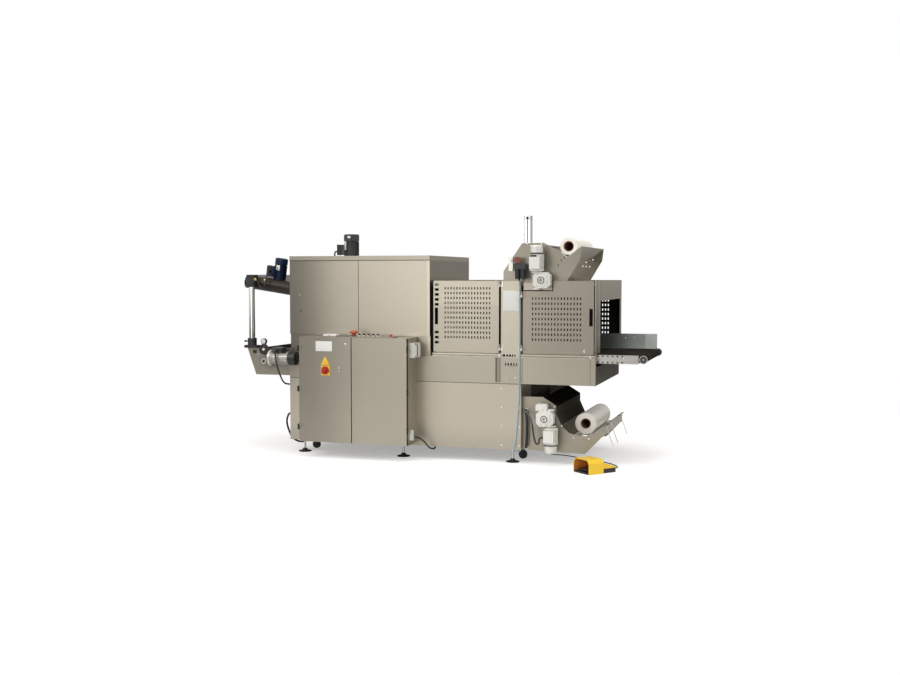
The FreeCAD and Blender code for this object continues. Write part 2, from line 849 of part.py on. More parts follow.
def infeed_guide():
    z0 = rail_bottom + 50
    inner = guide_y
    outer = guide_y + sheet
    outline = [(guide_left, inner), (guide_bend, inner), (guide_end, inner + guide_flare)]
    outline = outline + [(guide_end, outer + guide_flare), (guide_bend, outer), (guide_left, outer)]
    corners = [Vector(x, y, z0) for x, y in outline]
    wall = Part.Face(Part.makePolygon(corners + corners[:1])).extrude(Vector(0, 0, guide_top - z0))
    foot = block(guide_left, guide_bend, rail_back_y + rail_thick, inner, z0, z0 + sheet)
    return join([wall, foot])


# a point along one arm of the upper cradle, and its height above the seat of the tray
def tray_point(distance, lift, side):
    a = math.radians(tray_angle_right)
    b = math.radians(tray_angle_left)
    reach = upper_roll_radius + roll_clearance + sheet
    apex_x = upper_roll_x + reach * (math.cos(b) - math.cos(a)) / math.sin(a + b)
    apex_z = upper_roll_z - reach * (math.sin(a) + math.sin(b)) / math.sin(a + b)
    turn = a if side > 0 else b
    x = apex_x + side * (distance * math.cos(turn) - lift * math.sin(turn))
    z = apex_z + distance * math.sin(turn) + lift * math.cos(turn)
    return x, z


def upper_outline():
    roof = hood_plate_top
    left = press_x - 76.5
    shoulder = press_x + 260.5
    points = [(left, roof), (left, roof + 113), (left + 156, roof + 342), (shoulder, roof + 346)]
    points = points + [tray_point(tray_arm_left, 0, -1), tray_point(0, 0, 1), tray_point(tray_arm_right, 0, 1)]
    tip_x, tip_z = points[-1]
    return points + [(tip_x - 12, tip_z - 103), (tip_x - 138, roof)]


# two side plates and the cross strip that ties their tips
def upper_unwinder_plates():
    front = profile_xz(upper_outline(), unwinder_front, unwinder_front + plate)
    back = profile_xz(upper_outline(), unwinder_back, unwinder_back + plate)
    holes = []
    for dx, dz in ((-12, -86), (21, -96), (-41, -118), (-70, -153), (-40, -156), (-8, -157)):
        x = upper_roll_x + dx
        z = upper_roll_z + dz
        holes.append(rod(x, unwinder_back - over, z, 6, plate + 2 * over, along_y))
    return group([front, back.cut(group(holes))])


# folded tray that lies on the notches of both plates and carries the film roll
def upper_film_tray():
    outline = [tray_point(tray_arm_left, 0, -1), tray_point(0, 0, 1), tray_point(tray_arm_right, 0, 1)]
    apex_lift = sheet / math.cos(math.radians((tray_angle_left + tray_angle_right) / 2))
    outline = outline + [tray_point(tray_arm_right, sheet, 1)]
    apex_x, apex_z = tray_point(0, 0, 1)
    outline = outline + [(apex_x - sheet * 0.06, apex_z + apex_lift), tray_point(tray_arm_left, sheet, -1)]
    return profile_xz(outline, unwinder_front, unwinder_back + plate)


def unwinder_roller(x, z, radius):
    y0 = unwinder_front + plate
    end_gap = 4.0
    body = rod(x, y0 + end_gap, z, radius, unwinder_back - y0 - 2 * end_gap, along_y)
    shaft = rod(x, y0, z, 8, unwinder_back - y0, along_y)
    return join([body, shaft])


def upper_unwinder_rollers():
    drive = unwinder_roller(upper_hub_x, upper_hub_z, feed_roller_radius)
    guide = unwinder_roller(press_x + 238.5, hood_plate_top + 325, 10)
    idler = unwinder_roller(press_x - 53.5, hood_plate_top + 85, 14)
    return group([drive, guide, idler])


def film_roll(x, y, z, radius):
    roll = rod(x, y, z, radius, film_length, along_y)
    core = rod(x, y - over, z, core_radius, film_length + 2 * over, along_y)
    return roll.cut(core)


def upper_film_roll():
    return film_roll(upper_roll_x, upper_film_front, upper_roll_z, upper_roll_radius)


def lower_film_roll():
    return film_roll(lower_roll_x, lower_film_front, lower_roll_z, lower_roll_radius)


cover_top_x = base_right + 172
cover_top_z = base_top - 107
cover_bend_x = base_right + 283
cover_high_z = cover_top_z - 68
cover_low_z = cover_top_z - 135
tray_x = lower_roll_x - 166.5
tray_z = lower_roll_z + 1


def lower_outline():
    x = lower_roll_x
    z = lower_roll_z
    cover = [(cover_top_x, cover_top_z), (cover_bend_x, cover_high_z)]
    cover = cover + [(cover_bend_x, cover_low_z), (tray_x, tray_z)]
    cradle = [(x - 97.5, z - 59), (x - 13.5, z - 77), (x + 70.5, z - 77)]
    end = [(lower_end_x, z + 3), (lower_end_x, z - 80), (lower_end_x - 140, base_bottom - 15)]
    return [(base_right, cover_top_z)] + cover + cradle + end + [(base_right, base_bottom)]


# two side plates, each with a punched flange on the end of the base
def lower_unwinder_plates():
    flange_depth = 40.0
    shapes = []
    places = ((unwinder_front, unwinder_front - flange_depth), (unwinder_back, unwinder_back + plate))
    for y0, y1 in places:
        side = profile_xz(lower_outline(), y0, y0 + plate)
        flange = block(base_right, base_right + sheet, y1, y1 + flange_depth, base_bottom, cover_top_z)
        holes = []
        for i in range(10):
            z = base_bottom + 40 + i * 40
            holes.append(rod(base_right - over, y1 + 20, z, 6, sheet + 2 * over, along_x))
        shapes.append(join([side, flange]).cut(group(holes)))
    return group(shapes)


def lower_unwinder_rollers():
    distance = lower_roll_radius + roll_clearance + cradle_radius
    drop = math.sqrt(distance * distance - cradle_spread * cradle_spread)
    shapes = []
    for x in (lower_roll_x - cradle_spread, lower_roll_x + cradle_spread):
        shapes.append(unwinder_roller(x, lower_roll_z - drop, cradle_radius))
    shapes.append(unwinder_roller(lower_hub_x, lower_hub_z, feed_roller_radius))
    return group(shapes)


# smooth black cover above, ribbed tray below it, both between the side plates
def lower_film_cover():
    y0 = unwinder_front + plate
    y1 = unwinder_back
    t = 4.0
    top = (cover_top_x, cover_top_z)
    outline = [(top[0], top[1] - t), (cover_bend_x - t, cover_high_z - 1), (cover_bend_x - t, cover_low_z)]
    outline = outline + [(tray_x - t, tray_z), (tray_x, tray_z + 2), (cover_bend_x, cover_low_z + 1)]
    outline = outline + [(cover_bend_x, cover_high_z + 1), (top[0] + 2, top[1])]
    shapes = [profile_xz(outline, y0, y1)]
    lean = math.atan2(tray_x - cover_bend_x, cover_low_z - tray_z)
    length = math.hypot(tray_x - cover_bend_x, cover_low_z - tray_z) - 24
    rib_pitch = 40.0
    count = int((y1 - y0 - rib_pitch) / rib_pitch)
    for i in range(count):
        y = y0 + rib_pitch + i * rib_pitch
        rib = block(-1, 4, y, y + 8, -length, 0)
        rib.rotate(origin, along_y, -math.degrees(lean))
        rib.translate(Vector(cover_bend_x + 5, 0, cover_low_z - 12))
        shapes.append(rib)
    return join(shapes)


# plate across the free ends of the side plates, with three thin film fingers
def lower_end_plate():
    y0 = unwinder_front
    y1 = unwinder_back + plate
    x = lower_end_x
    low = lower_roll_z - 80
    high = lower_roll_z + 3
    t = 4.0
    wall = block(x, x + t, y0, y1, low, high)
    lip = block(x + t, x + 5 * t, y0, y1, high - t, high)
    fingers = []
    finger_length = 178.0
    for y in (150, 380, 900):
        fingers.append(rod(x + 4 * t, y, high - t / 2, 3.5, finger_length, Vector(0.36, -0.1, -0.93)))
    return join([wall, lip] + fingers)


# worm gearbox with hollow output hub on the machine's front face, its motor up or down
def gearmotor(hub_x, hub_z, up):
    half = gearbox_width / 2
    c = gearbox_corner
    low = hub_z - gearbox_height / 2
    high = hub_z + gearbox_height / 2
    left = hub_x - half
    right = hub_x + half
    outline = [(left, low + c), (left + c, low), (right - c, low), (right, low + c)]
    outline = outline + [(right, high - c), (right - c, high), (left + c, high), (left, high - c)]
    front = -gearbox_depth
    rib = 10.0
    shapes = [profile_xz(outline, front + rib, 0)]
    shapes.append(rod(hub_x, front, hub_z, 50, rib, along_y))
    shapes.append(rod(hub_x, front - 12, hub_z, hub_radius, 12, along_y))
    for angle in range(45, 405, 90):
        x = hub_x + 60 * math.cos(math.radians(angle))
        z = hub_z + 56 * math.sin(math.radians(angle))
        shapes.append(rod(x, front, z, 9, rib, along_y))
    worm_x = hub_x - up * worm_offset
    middle_y = -gearbox_depth / 2
    far_z = low if up > 0 else high
    shapes.append(rod(worm_x, middle_y, far_z - 12 if up > 0 else far_z, 30, 12, along_z))
    motor = electric_motor(motor_radius, motor_length, -90 * up, box_reach, 0.82)
    neck = Part.makeCylinder(48, 16, Vector(0, 0, -16), along_z)
    motor = join([motor, neck])
    if up < 0:
        motor.rotate(origin, along_x, 180)
    near_z = high if up > 0 else low
    motor.translate(Vector(worm_x, middle_y, near_z + up * 10))
    shapes.append(motor)
    bore = rod(hub_x, front - 13, hub_z, drive_radius, 30, along_y)
    shaft = rod(hub_x, 0, hub_z, drive_radius + 1, unwinder_front, along_y)
    return join([join(shapes).cut(bore), shaft])


def upper_gearmotor():
    return gearmotor(upper_hub_x, upper_hub_z, 1)


# the lower gearbox carries a cast foot above its left half
def lower_gearmotor():
    z = lower_hub_z + gearbox_height / 2
    foot = block(lower_hub_x - 76, lower_hub_x + 16, -gearbox_depth + 18, 0, z, z + 54)
    high_edges = [edge for edge in foot.Edges if edge.BoundBox.ZMin > z + 50]
    foot = foot.makeFillet(16, [edge for edge in high_edges if abs(edge.tangentAt(0).y) > 0.9])
    boss = rod(lower_hub_x - 30, -gearbox_depth + 8, z + 22, 20, 10, along_y)
    return join([gearmotor(lower_hub_x, lower_hub_z, -1), foot, boss])


def outfeed_gearmotor():
    z = outfeed_drive_z
    y = outfeed_drive_y
    motor_z = z + outfeed_motor_rise
    half = 49.0
    right = outfeed_drive_x + half
    depth = 96.0
    below = 44.0
    above = 42.0
    corner = 16.0
    flange_thick = 24.0
    hub_radius = 26.0
    hub_length = 12.0
    ring_radius = 38.0
    ring_length = 4.0
    housing = block(outfeed_drive_x - half, right, -depth, 0, z - below, z + above)
    housing = housing.makeFillet(corner, [edge for edge in housing.Edges if abs(edge.tangentAt(0).y) > 0.9])
    hub = rod(outfeed_drive_x, -depth - hub_length, z, hub_radius, hub_length, along_y)
    ring = rod(outfeed_drive_x, -depth - ring_length, z, ring_radius, ring_length, along_y)
    bore = rod(outfeed_drive_x, -depth - 13, z, drive_radius, 25, along_y)
    flange = rod(right, y, motor_z, outfeed_motor_radius + 12, flange_thick, along_x)
    motor = electric_motor(outfeed_motor_radius, outfeed_motor_length, 0, box_reach, 1.02)
    motor.rotate(origin, along_y, 90)
    motor.rotate(origin, along_x, 180)
    motor.translate(Vector(right + flange_thick, y, motor_z))
    return join([housing, ring, hub, flange, motor]).cut(bore)


# hand wheel on its shaft, and the round dial on a bracket above it
def hand_wheel():
    x = wheel_x
    z = wheel_z
    shaft_length = 40.0
    rim_thick = 14.0
    rim_round = 5.0
    hub_face = 60.0
    dial_x = x - 17
    dial_z = z + 68
    dial_depth = 26.0
    bracket_thick = 10.0
    shaft = rod(x, -shaft_length, z, 8, shaft_length, along_y)
    disc = rod(x, -shaft_length - rim_thick, z, wheel_radius, rim_thick, along_y)
    disc = disc.makeFillet(rim_round, disc.Edges)
    hub = rod(x, -hub_face, z, 12, 20, along_y)
    bracket = block(dial_x - 9, x, -bracket_thick, 0, z - 10, dial_z)
    dial = rod(dial_x, -dial_depth, dial_z, dial_radius, dial_depth, along_y)
    return join([shaft, disc, hub, bracket, dial])


# cylinder body with its grooves and end caps, piston rod, and the bridge that carries it
def press_cylinder():
    half = press_width / 2
    cap_height = 38.0
    z0 = hood_plate_top + plate
    body = block(press_x - half, press_x + half, press_y - half, press_y + half, z0, press_top)
    body = body.makeFillet(9, [edge for edge in body.Edges if abs(edge.tangentAt(0).z) > 0.9])
    cuts = []
    for turn in range(4):
        groove = block(-4, 4, -half - over, -half + 5, z0 + cap_height + 2, press_top - cap_height - 2)
        groove.rotate(origin, along_z, 90 * turn)
        groove.translate(Vector(press_x, press_y, 0))
        cuts.append(groove)
    seam = 2.0
    for z in (z0 + cap_height, press_top - cap_height - seam):
        ring = block(press_x - half - over, press_x + half + over, press_y - half - over, press_y + half + over,
                     z, z + seam)
        core = block(press_x - half + seam, press_x + half - seam, press_y - half + seam, press_y + half - seam,
                     z - over, z + seam + over)
        cuts.append(ring.cut(core))
    for z in (z0 + cap_height / 2, press_top - cap_height / 2):
        cuts.append(rod(press_x, press_y - half - over, z, 8, 8, along_y))
    rod_part = rod(press_x, press_y, seal_open + seal_height, press_rod_radius,
                   z0 - seal_open - seal_height, along_z)
    bridge_half = bridge_width / 2
    bridge = block(press_x - bridge_half, press_x + bridge_half, bridge_inset, unwinder_back - 10,
                   hood_plate_top, z0)
    return join([body.cut(group(cuts)), rod_part, bridge])


def seal_bars():
    half = seal_width / 2
    y0 = 110.0
    blade_half = 8.0
    blade_height = 14.0
    y1 = unwinder_back
    upper = block(press_x - half, press_x + half, y0, y1, seal_open, seal_open + seal_height)
    blade = block(press_x - blade_half, press_x + blade_half, y0, y1, seal_open - blade_height, seal_open)
    top = belt_top - 12
    lower = block(press_x - half, press_x + half, belt_front + 14, belt_back + 14, bed_floor, top)
    trough_half = half - 8
    trough = block(press_x - trough_half, press_x + trough_half, belt_front + 74, belt_back - 30,
                   bed_floor - over, top - 8)
    return group([join([upper, blade]), lower.cut(trough)])


# open fronted body with a mullion, the mounting plate inside and the fixed halves of the hinges
def cabinet_body():
    y0 = cabinet_body_front
    outer = block(cabinet_left, cabinet_right, y0, 0, cabinet_bottom, cabinet_top)
    inner = block(cabinet_left + sheet, cabinet_right - sheet, y0 - over, -sheet, cabinet_bottom + sheet,
                  cabinet_top - sheet)
    mullion_half = 14.0
    mullion = block(cabinet_gap_x - mullion_half, cabinet_gap_x + mullion_half, y0, y0 + 20, cabinet_bottom,
                    cabinet_top)
    rim_x = 40.0
    rim_z = 60.0
    backing = block(cabinet_left + rim_x, cabinet_right - rim_x, -12 - sheet, -sheet, cabinet_bottom + rim_z,
                    cabinet_top - rim_z)
    shapes = [outer.cut(inner), mullion, backing]
    for axis_x, side in ((cabinet_left_axis, -1), (cabinet_right_axis, 1)):
        for z in cabinet_hinges:
            high = z + cabinet_knuckle_height
            knuckle = rod(axis_x, cabinet_axis_y, z, cabinet_knuckle, cabinet_knuckle_height, along_z)
            pin = rod(axis_x, cabinet_axis_y, z, cabinet_pin, 2 * cabinet_knuckle_height, along_z)
            strap = block(axis_x - side * 2, axis_x + side * 5, cabinet_axis_y, y0 + 26, z, high)
            shapes.append(join([knuckle, pin, strap]))
    return join(shapes)


def cabinet_door(x0, x1, axis_x, side):
    pan = door_pan(x0, x1, cabinet_front, cabinet_door_depth, cabinet_bottom, cabinet_top)
    shapes = [pan]
    tab_reach = 30.0
    for z in cabinet_hinges:
        low = z + cabinet_knuckle_height + over
        high = low + cabinet_knuckle_height
        knuckle = rod(axis_x, cabinet_axis_y, low, cabinet_knuckle, cabinet_knuckle_height, along_z)
        tab = block(axis_x, axis_x + side * tab_reach, cabinet_front - 4, cabinet_front, low, high)
        bore = rod(axis_x, cabinet_axis_y, z, cabinet_pin + fit, 60, along_z)
        shapes.append(join([knuckle, tab]).cut(bore))
    return join(shapes)


cabinet_side_gap = 6.0
cabinet_door_gap = 4.0


def cabinet_door_left():
    x0 = cabinet_left + cabinet_side_gap
    x1 = cabinet_gap_x - cabinet_door_gap
    return cabinet_door(x0, x1, cabinet_left_axis, 1)


def cabinet_door_right():
    x0 = cabinet_gap_x + cabinet_door_gap
    x1 = cabinet_right - cabinet_side_gap
    return cabinet_door(x0, x1, cabinet_right_axis, -1)


def push_button(x, y, z, base_radius, cap_radius, height):
    base = rod(x, y, z, base_radius, 8, along_z)
    cap = rod(x, y, z + 8, cap_radius, height - 8, along_z)
    return join([base, cap])


# low raised plate on the cabinet with two displays, a dark strip and the buttons
def control_console():
    z = cabinet_top
    top = z + 8
    x0 = cabinet_left + 184
    x1 = cabinet_right - 138
    y0 = cabinet_front + 35
    y1 = cabinet_front + 160
    middle_y = (y0 + y1) / 2
    shapes = [block(x0, x1, y0, y1, z, top)]
    for x in (x0 + 20, x0 + 84):
        shapes.append(block(x, x + 56, y0 + 20, y1 - 20, top, top + 3))
    shapes.append(block(x0 + 150, x0 + 255, y0 + 24, y1 - 24, top, top + 3))
    stop_x = x0 + 285
    shapes.append(rod(stop_x, middle_y, top, 14, 22, along_z))
    mushroom = Part.makeCone(20, 13, 15, Vector(stop_x, middle_y, top + 22), along_z)
    shapes.append(mushroom)
    for i in range(5):
        shapes.append(push_button(x0 + 335 + i * 42, middle_y, top, 14, 10, 22))
    shapes.append(push_button(x1 - 40, middle_y, top, 14, 11, 18))
    return join(shapes)


# switch plate with its round knob and grip, and the double lock beside it
def main_switch():
    y = cabinet_front
    x0 = cabinet_left + 209
    z0 = cabinet_top - 322
    size = 82.0
    middle_x = x0 + size / 2
    middle_z = z0 + size / 2 + 2
    shapes = [block(x0, x0 + size, y - 3, y, z0, z0 + size)]
    shapes.append(rod(middle_x, y - 13, middle_z, 34, 10, along_y))
    grip = block(-9, 9, y - 33, y - 13, -32, 32)
    grip.rotate(origin, along_y, 45)
    grip.translate(Vector(middle_x, 0, middle_z))
    shapes.append(grip)
    locks = []
    lock_x = cabinet_gap_x - 106
    for z in (cabinet_top - 255, cabinet_top - 282):
        locks.append(rod(lock_x, y - 8, z, 11, 8, along_y))
    return group([join(shapes)] + locks)


# socket box and junction piece on the right side of the cabinet
def side_sockets():
    x = cabinet_right
    box_depth = 40.0
    box_y = cabinet_front + 62
    small_y = cabinet_front + 58
    box_z = cabinet_top - 164
    box = block(x, x + box_depth, box_y, box_y + 147, box_z, box_z + 122)
    box = box.makeFillet(8, [edge for edge in box.Edges if abs(edge.tangentAt(0).x) > 0.9])
    cover = block(x + box_depth, x + box_depth + 12, box_y + 25, box_y + 122, box_z + 16, box_z + 106)
    small_z = cabinet_bottom + 41
    small = block(x, x + 25, small_y, small_y + 64, small_z, small_z + 85)
    return group([join([box, cover]), small])


bowl_x = (air_left + 73.0, air_left + 120.0)
hose_x = air_left + 83.0
hose_y = -14.0


# valve column, two filter bowls, shut-off knob and the bracket to the unwinder plate
def air_unit():
    z = air_z
    y = air_y
    body_half = 22.0
    column = block(air_left, air_left + 34, y - 15, y + 15, z - 20, z + 94)
    port = rod(air_left + 17, y - 25, z + 62, 12, 10, along_y)
    head = block(air_left + 34, bowl_x[1] + body_half, y - body_half, y + body_half, z - 3, z + 42)
    shapes = [column, port, head]
    for x in bowl_x:
        bowl = rod(x, y, z - bowl_height, bowl_radius, bowl_height, along_z)
        low_edge = [edge for edge in bowl.Edges if edge.BoundBox.ZMax < z - bowl_height + over]
        shapes.append(bowl.makeFillet(8, low_edge))
    knob_x = air_left + 75
    shapes.append(rod(knob_x, y - 30, z + 70, 25, 22, along_y))
    shapes.append(rod(knob_x, y - 8, z + 70, 14, 30, along_y))
    shapes.append(block(knob_x - 18, knob_x + 18, y, y + 22, z + 42, z + 92))
    bracket = block(air_left + 10, air_left + 50, y + 15, unwinder_front, z + 6, z + 36)
    shapes.append(bracket)
    fitting = rod(hose_x, hose_y, z - bowl_height - 14, 7, 30, along_z)
    shapes.append(fitting)
    return join(shapes)


# hose from the air unit straight down the post, then under the base
def air_hose():
    top = air_z - bowl_height - 14
    z_floor = base_bottom - 15
    route = [(hose_x, hose_y, top), (hose_x + 2, hose_y, 880), (hose_x, hose_y, 526), (40, hose_y, 206)]
    route = route + [(24, hose_y, 122), (30, 10, z_floor), (52, 46, z_floor)]
    route = route + [(52, 60, z_floor + 2), (52, 60, base_bottom)]
    return tube(route, hose_radius)[0]


# black cables that the machine holds all the way, each from its gland
def cabinet_cable():
    x = cabinet_right
    route = [(x, -112, 191), (x + 48, -112, 191), (x + 92, -92, 160), (x + 126, -60, 100), (x + 138, 10, 82)]
    route = route + [(x + 140, 60, 82), (x + 140, 60, base_bottom)]
    start = rod(x, -112, 191, gland_radius, gland_length, along_x)
    return join([tube(route, cable_radius)[0], start])


def base_conduit():
    x = base_left
    route = [(x, 40, 329), (x - 34, 40, 329), (x - 62, 50, 262), (x - 56, 70, 190), (x - 26, 92, 104)]
    route = route + [(x + 30, 108, 70), (x + 90, 126, 74), (x + 90, 126, base_bottom)]
    start = rod(x - 16, 40, 329, conduit_radius + 4, 16, along_x)
    return join([tube(route, conduit_radius)[0], start])


def lower_motor_cable():
    box_left = lower_hub_x + worm_offset - 40
    y = -gearbox_depth / 2 - motor_radius - 15
    x = base_right + 26
    route = [(x, unwinder_front, 437), (x, -14, 437), (x + 30, -30, 430), (x + 66, -40, 380), (x + 84, -48, 316)]
    route = route + [(x + 94, -60, 246), (x + 116, -80, 182), (x + 146, -104, 178), (box_left - 34, y, 236)]
    route = route + [(box_left, y, 236)]
    start = rod(x, unwinder_front - gland_length, 437, gland_radius, gland_length, along_y)
    end = rod(box_left - gland_length, y, 236, gland_radius, gland_length, along_x)
    return join([tube(route, cable_radius)[0], start, end])


def outfeed_motor_cable():
    x = outfeed_drive_x + 129
    front = outfeed_drive_y - 40
    z = outfeed_drive_z + outfeed_motor_rise + outfeed_motor_radius + 4
    z_end = z - 300
    route = [(x, front, z), (x, front - 30, z), (x + 10, front - 34, z - 80), (x + 30, front - 14, z - 190)]
    route = route + [(x + 44, front + 50, z_end + 16), (base_left - 24, 36, z_end), (base_left, 36, z_end)]
    start = rod(x, front - gland_length, z, gland_radius, gland_length, along_y)
    return join([tube(route, cable_radius)[0], start])


def fan_motor_cable():
    x = fan_x - fan_radius - long_box_reach - box_cover
    z = lid_top
    route = [(x, fan_y, z + 50), (x - 40, fan_y, z + 50), (x - 40, fan_y, z)]
    start = rod(x - gland_length, fan_y, z + 50, gland_radius, gland_length, along_x)
    return join([tube(route, cable_radius)[0], start])


def duct_motor_cable():
    along = duct_motor_place - duct_motor_radius - long_box_reach / 2
    above = duct_height / 2 + 64
    x = duct_left + along * math.cos(duct_angle) + above * math.sin(duct_angle)
    z = duct_z - along * math.sin(duct_angle) + above * math.cos(duct_angle)
    y = duct_motor_y - 40
    route = [(x, y, z), (x, y - 44, z), (x + 6, duct_front - 26, z - 44), (x + 2, duct_front - 30, z - 102)]
    route = route + [(x - 16, duct_front - 32, z - 146), (x - 44, duct_front - 30, z - 158)]
    route = route + [(x - 68, duct_front - 28, z - 130), (post_x + 62, post_front_y, z - 92)]
    route = route + [(post_x + 40, post_front_y, z - 92)]
    start = rod(x, y - gland_length, z, gland_radius, gland_length, along_y)
    return join([tube(route, cable_radius)[0], start])


def machine_cables():
    held = [cabinet_cable(), base_conduit(), lower_motor_cable(), outfeed_motor_cable(), fan_motor_cable()]
    return group(held + [duct_motor_cable()])


def place_pedal(shape):
    shape.rotate(origin, along_z, pedal_turn)
    shape.translate(Vector(pedal_x, pedal_y, 0))
    return shape


pedal_half = pedal_length / 2
pedal_side = pedal_width / 2
hood_end_x = -pedal_half + pedal_hood_length


# floor plate, foot lever and the box of the tail with its cord gland
def pedal_base():
    inset = pedal_wall + 1
    base = block(-pedal_half, pedal_half, -pedal_side + inset, pedal_side - inset, 0, 14)
    tail = block(hood_end_x - 20, pedal_half, -pedal_side + inset, pedal_side - inset, 14, pedal_tail_height)
    lever_low = 22.0
    lever = [(-pedal_half + 24, lever_low), (-pedal_half + 24, lever_low + 8), (hood_end_x - 20, 40)]
    lever = lever + [(hood_end_x - 20, 14), (hood_end_x - 50, 14)]
    step = profile_xz(lever, -pedal_side + 34, pedal_side - 34)
    gland = Part.makeCone(10, 6, 20, Vector(pedal_half, 0, cord_exit_z), along_x)
    return place_pedal(join([base, tail, step, gland]))


# arched hood over the lever, and its yellow cover that runs down over the tail
def pedal_hood():
    corner = 26.0
    wall = pedal_wall
    shoulder = pedal_height - 30
    outer_side = [(-pedal_side, 0), (-pedal_side, shoulder), (-pedal_side + corner, pedal_height)]
    outer_side = outer_side + [(pedal_side - corner, pedal_height), (pedal_side, shoulder), (pedal_side, 0)]
    inner_side = [(-pedal_side + wall, -over), (-pedal_side + wall, shoulder - 2)]
    top_half = pedal_side - corner - 2
    inner_side = inner_side + [(-top_half, pedal_height - wall), (top_half, pedal_height - wall)]
    inner_side = inner_side + [(pedal_side - wall, shoulder - 2), (pedal_side - wall, -over)]
    outer = profile_yz(outer_side, -pedal_half, hood_end_x)
    inner = profile_yz(inner_side, -pedal_half - over, hood_end_x - wall)
    slope = [(hood_end_x - over, pedal_tail_height), (hood_end_x - over, pedal_height * 0.72)]
    slope = slope + [(pedal_half, pedal_tail_height + 12), (pedal_half, pedal_tail_height)]
    cover = profile_xz(slope, -pedal_side + wall + 1, pedal_side - wall - 1)
    return place_pedal(join([outer.cut(inner), cover])).cut(pedal_base())


# where the cord leaves the tail, and its route over the floor to the end of the base
cord_exit_z = 26.0


def pedal_cord():
    turn = math.radians(pedal_turn)
    exit_reach = pedal_half + 20
    exit_x = pedal_x + exit_reach * math.cos(turn)
    exit_y = pedal_y + exit_reach * math.sin(turn)
    low = cord_radius + 0.3
    lead_x = exit_x + 22 * math.cos(turn)
    lead_y = exit_y + 22 * math.sin(turn)
    route = [(exit_x, exit_y, cord_exit_z), (lead_x, lead_y, cord_exit_z), (868, -46, 12), (878, 12, low)]
    route = route + [(862, 78, low), (824, 138, low), (776, 192, low), (718, 240, low), (652, 280, low)]
    route = route + [(578, 322, low), (506, 370, low), (438, 428, low), (366, 472, low), (306, 490, low)]
    end_x = base_right + gland_length
    route = route + [(256, 486, low), (216, 474, 14), (192, 460, 44), (180, 450, 82)]
    route = route + [(166, cord_entry_y, 118), (136, cord_entry_y, cord_entry_z - 4)]
    route = route + [(end_x + 14, cord_entry_y, cord_entry_z), (end_x, cord_entry_y, cord_entry_z)]
    shape, length, radii = tube(route, cord_radius)
    by_section = length * math.pi * cord_radius ** 2
    print("cord length", round(length), "volume by section", round(by_section), round(shape.Volume))
    print("cord radii", [round(radius) for radius in radii])
    return shape


loose_cords = ["pedal_cord"]

builders = {
    "base_cabinet": base_cabinet,
    "levelling_feet": levelling_feet,
    "casters": casters,
    "transfer_bed": transfer_bed,
    "seal_columns": seal_columns,
    "guard_sills": guard_sills,
    "hood_end_frames": hood_end_frames,
    "hood_roof": hood_roof,
    "rear_guard_panels": rear_guard_panels,
    "guard_hinges": guard_hinges,
    "guard_door_left": guard_door_left,
    "guard_door_right": guard_door_right,
    "tunnel_shell": tunnel_shell,
    "tunnel_front_panels": tunnel_front_panels,
    "tunnel_lid": tunnel_lid,
    "tunnel_fan_motor": tunnel_fan_motor,
    "cooling_duct": cooling_duct,
    "cooling_motor": cooling_motor,
    "duct_posts": duct_posts,
    "duct_clamps": duct_clamps,
    "outfeed_side_plates": outfeed_side_plates,
    "conveyor_belts": conveyor_belts,
    "belt_rollers": belt_rollers,
    "belt_side_rails": belt_side_rails,
    "infeed_guide": infeed_guide,
    "upper_unwinder_plates": upper_unwinder_plates,
    "upper_film_tray": upper_film_tray,
    "upper_unwinder_rollers": upper_unwinder_rollers,
    "upper_film_roll": upper_film_roll,
    "upper_gearmotor": upper_gearmotor,
    "lower_unwinder_plates": lower_unwinder_plates,
    "lower_unwinder_rollers": lower_unwinder_rollers,
    "lower_film_roll": lower_film_roll,
    "lower_film_cover": lower_film_cover,
    "lower_end_plate": lower_end_plate,
    "lower_gearmotor": lower_gearmotor,
    "outfeed_gearmotor": outfeed_gearmotor,
    "hand_wheel": hand_wheel,
    "press_cylinder": press_cylinder,
    "seal_bars": seal_bars,
    "cabinet_body": cabinet_body,
    "cabinet_door_left": cabinet_door_left,
    "cabinet_door_right": cabinet_door_right,
    "control_console": control_console,
    "main_switch": main_switch,
    "side_sockets": side_sockets,
    "air_unit": air_unit,
    "air_hose": air_hose,
    "machine_cables": machine_cables,
    "pedal_base": pedal_base,
    "pedal_hood": pedal_hood,
    "pedal_cord": pedal_cord,
}

os.makedirs("parts", exist_ok=True)
pieces = {name: build() for name, build in builders.items()}

# the origin is on the floor, under the middle of the machine's length and depth
whole = FreeCAD.BoundBox()
for name, shape in pieces.items():
    if name not in loose_cords:
        whole.add(shape.BoundBox)
middle_x = round(whole.Center.x, 2)
middle_y = round(whole.Center.y, 2)
print("middle", middle_x, middle_y)

for name, shape in pieces.items():
    shape.translate(Vector(-middle_x, -middle_y, 0))
    shape.exportStep("parts/" + name + ".step")
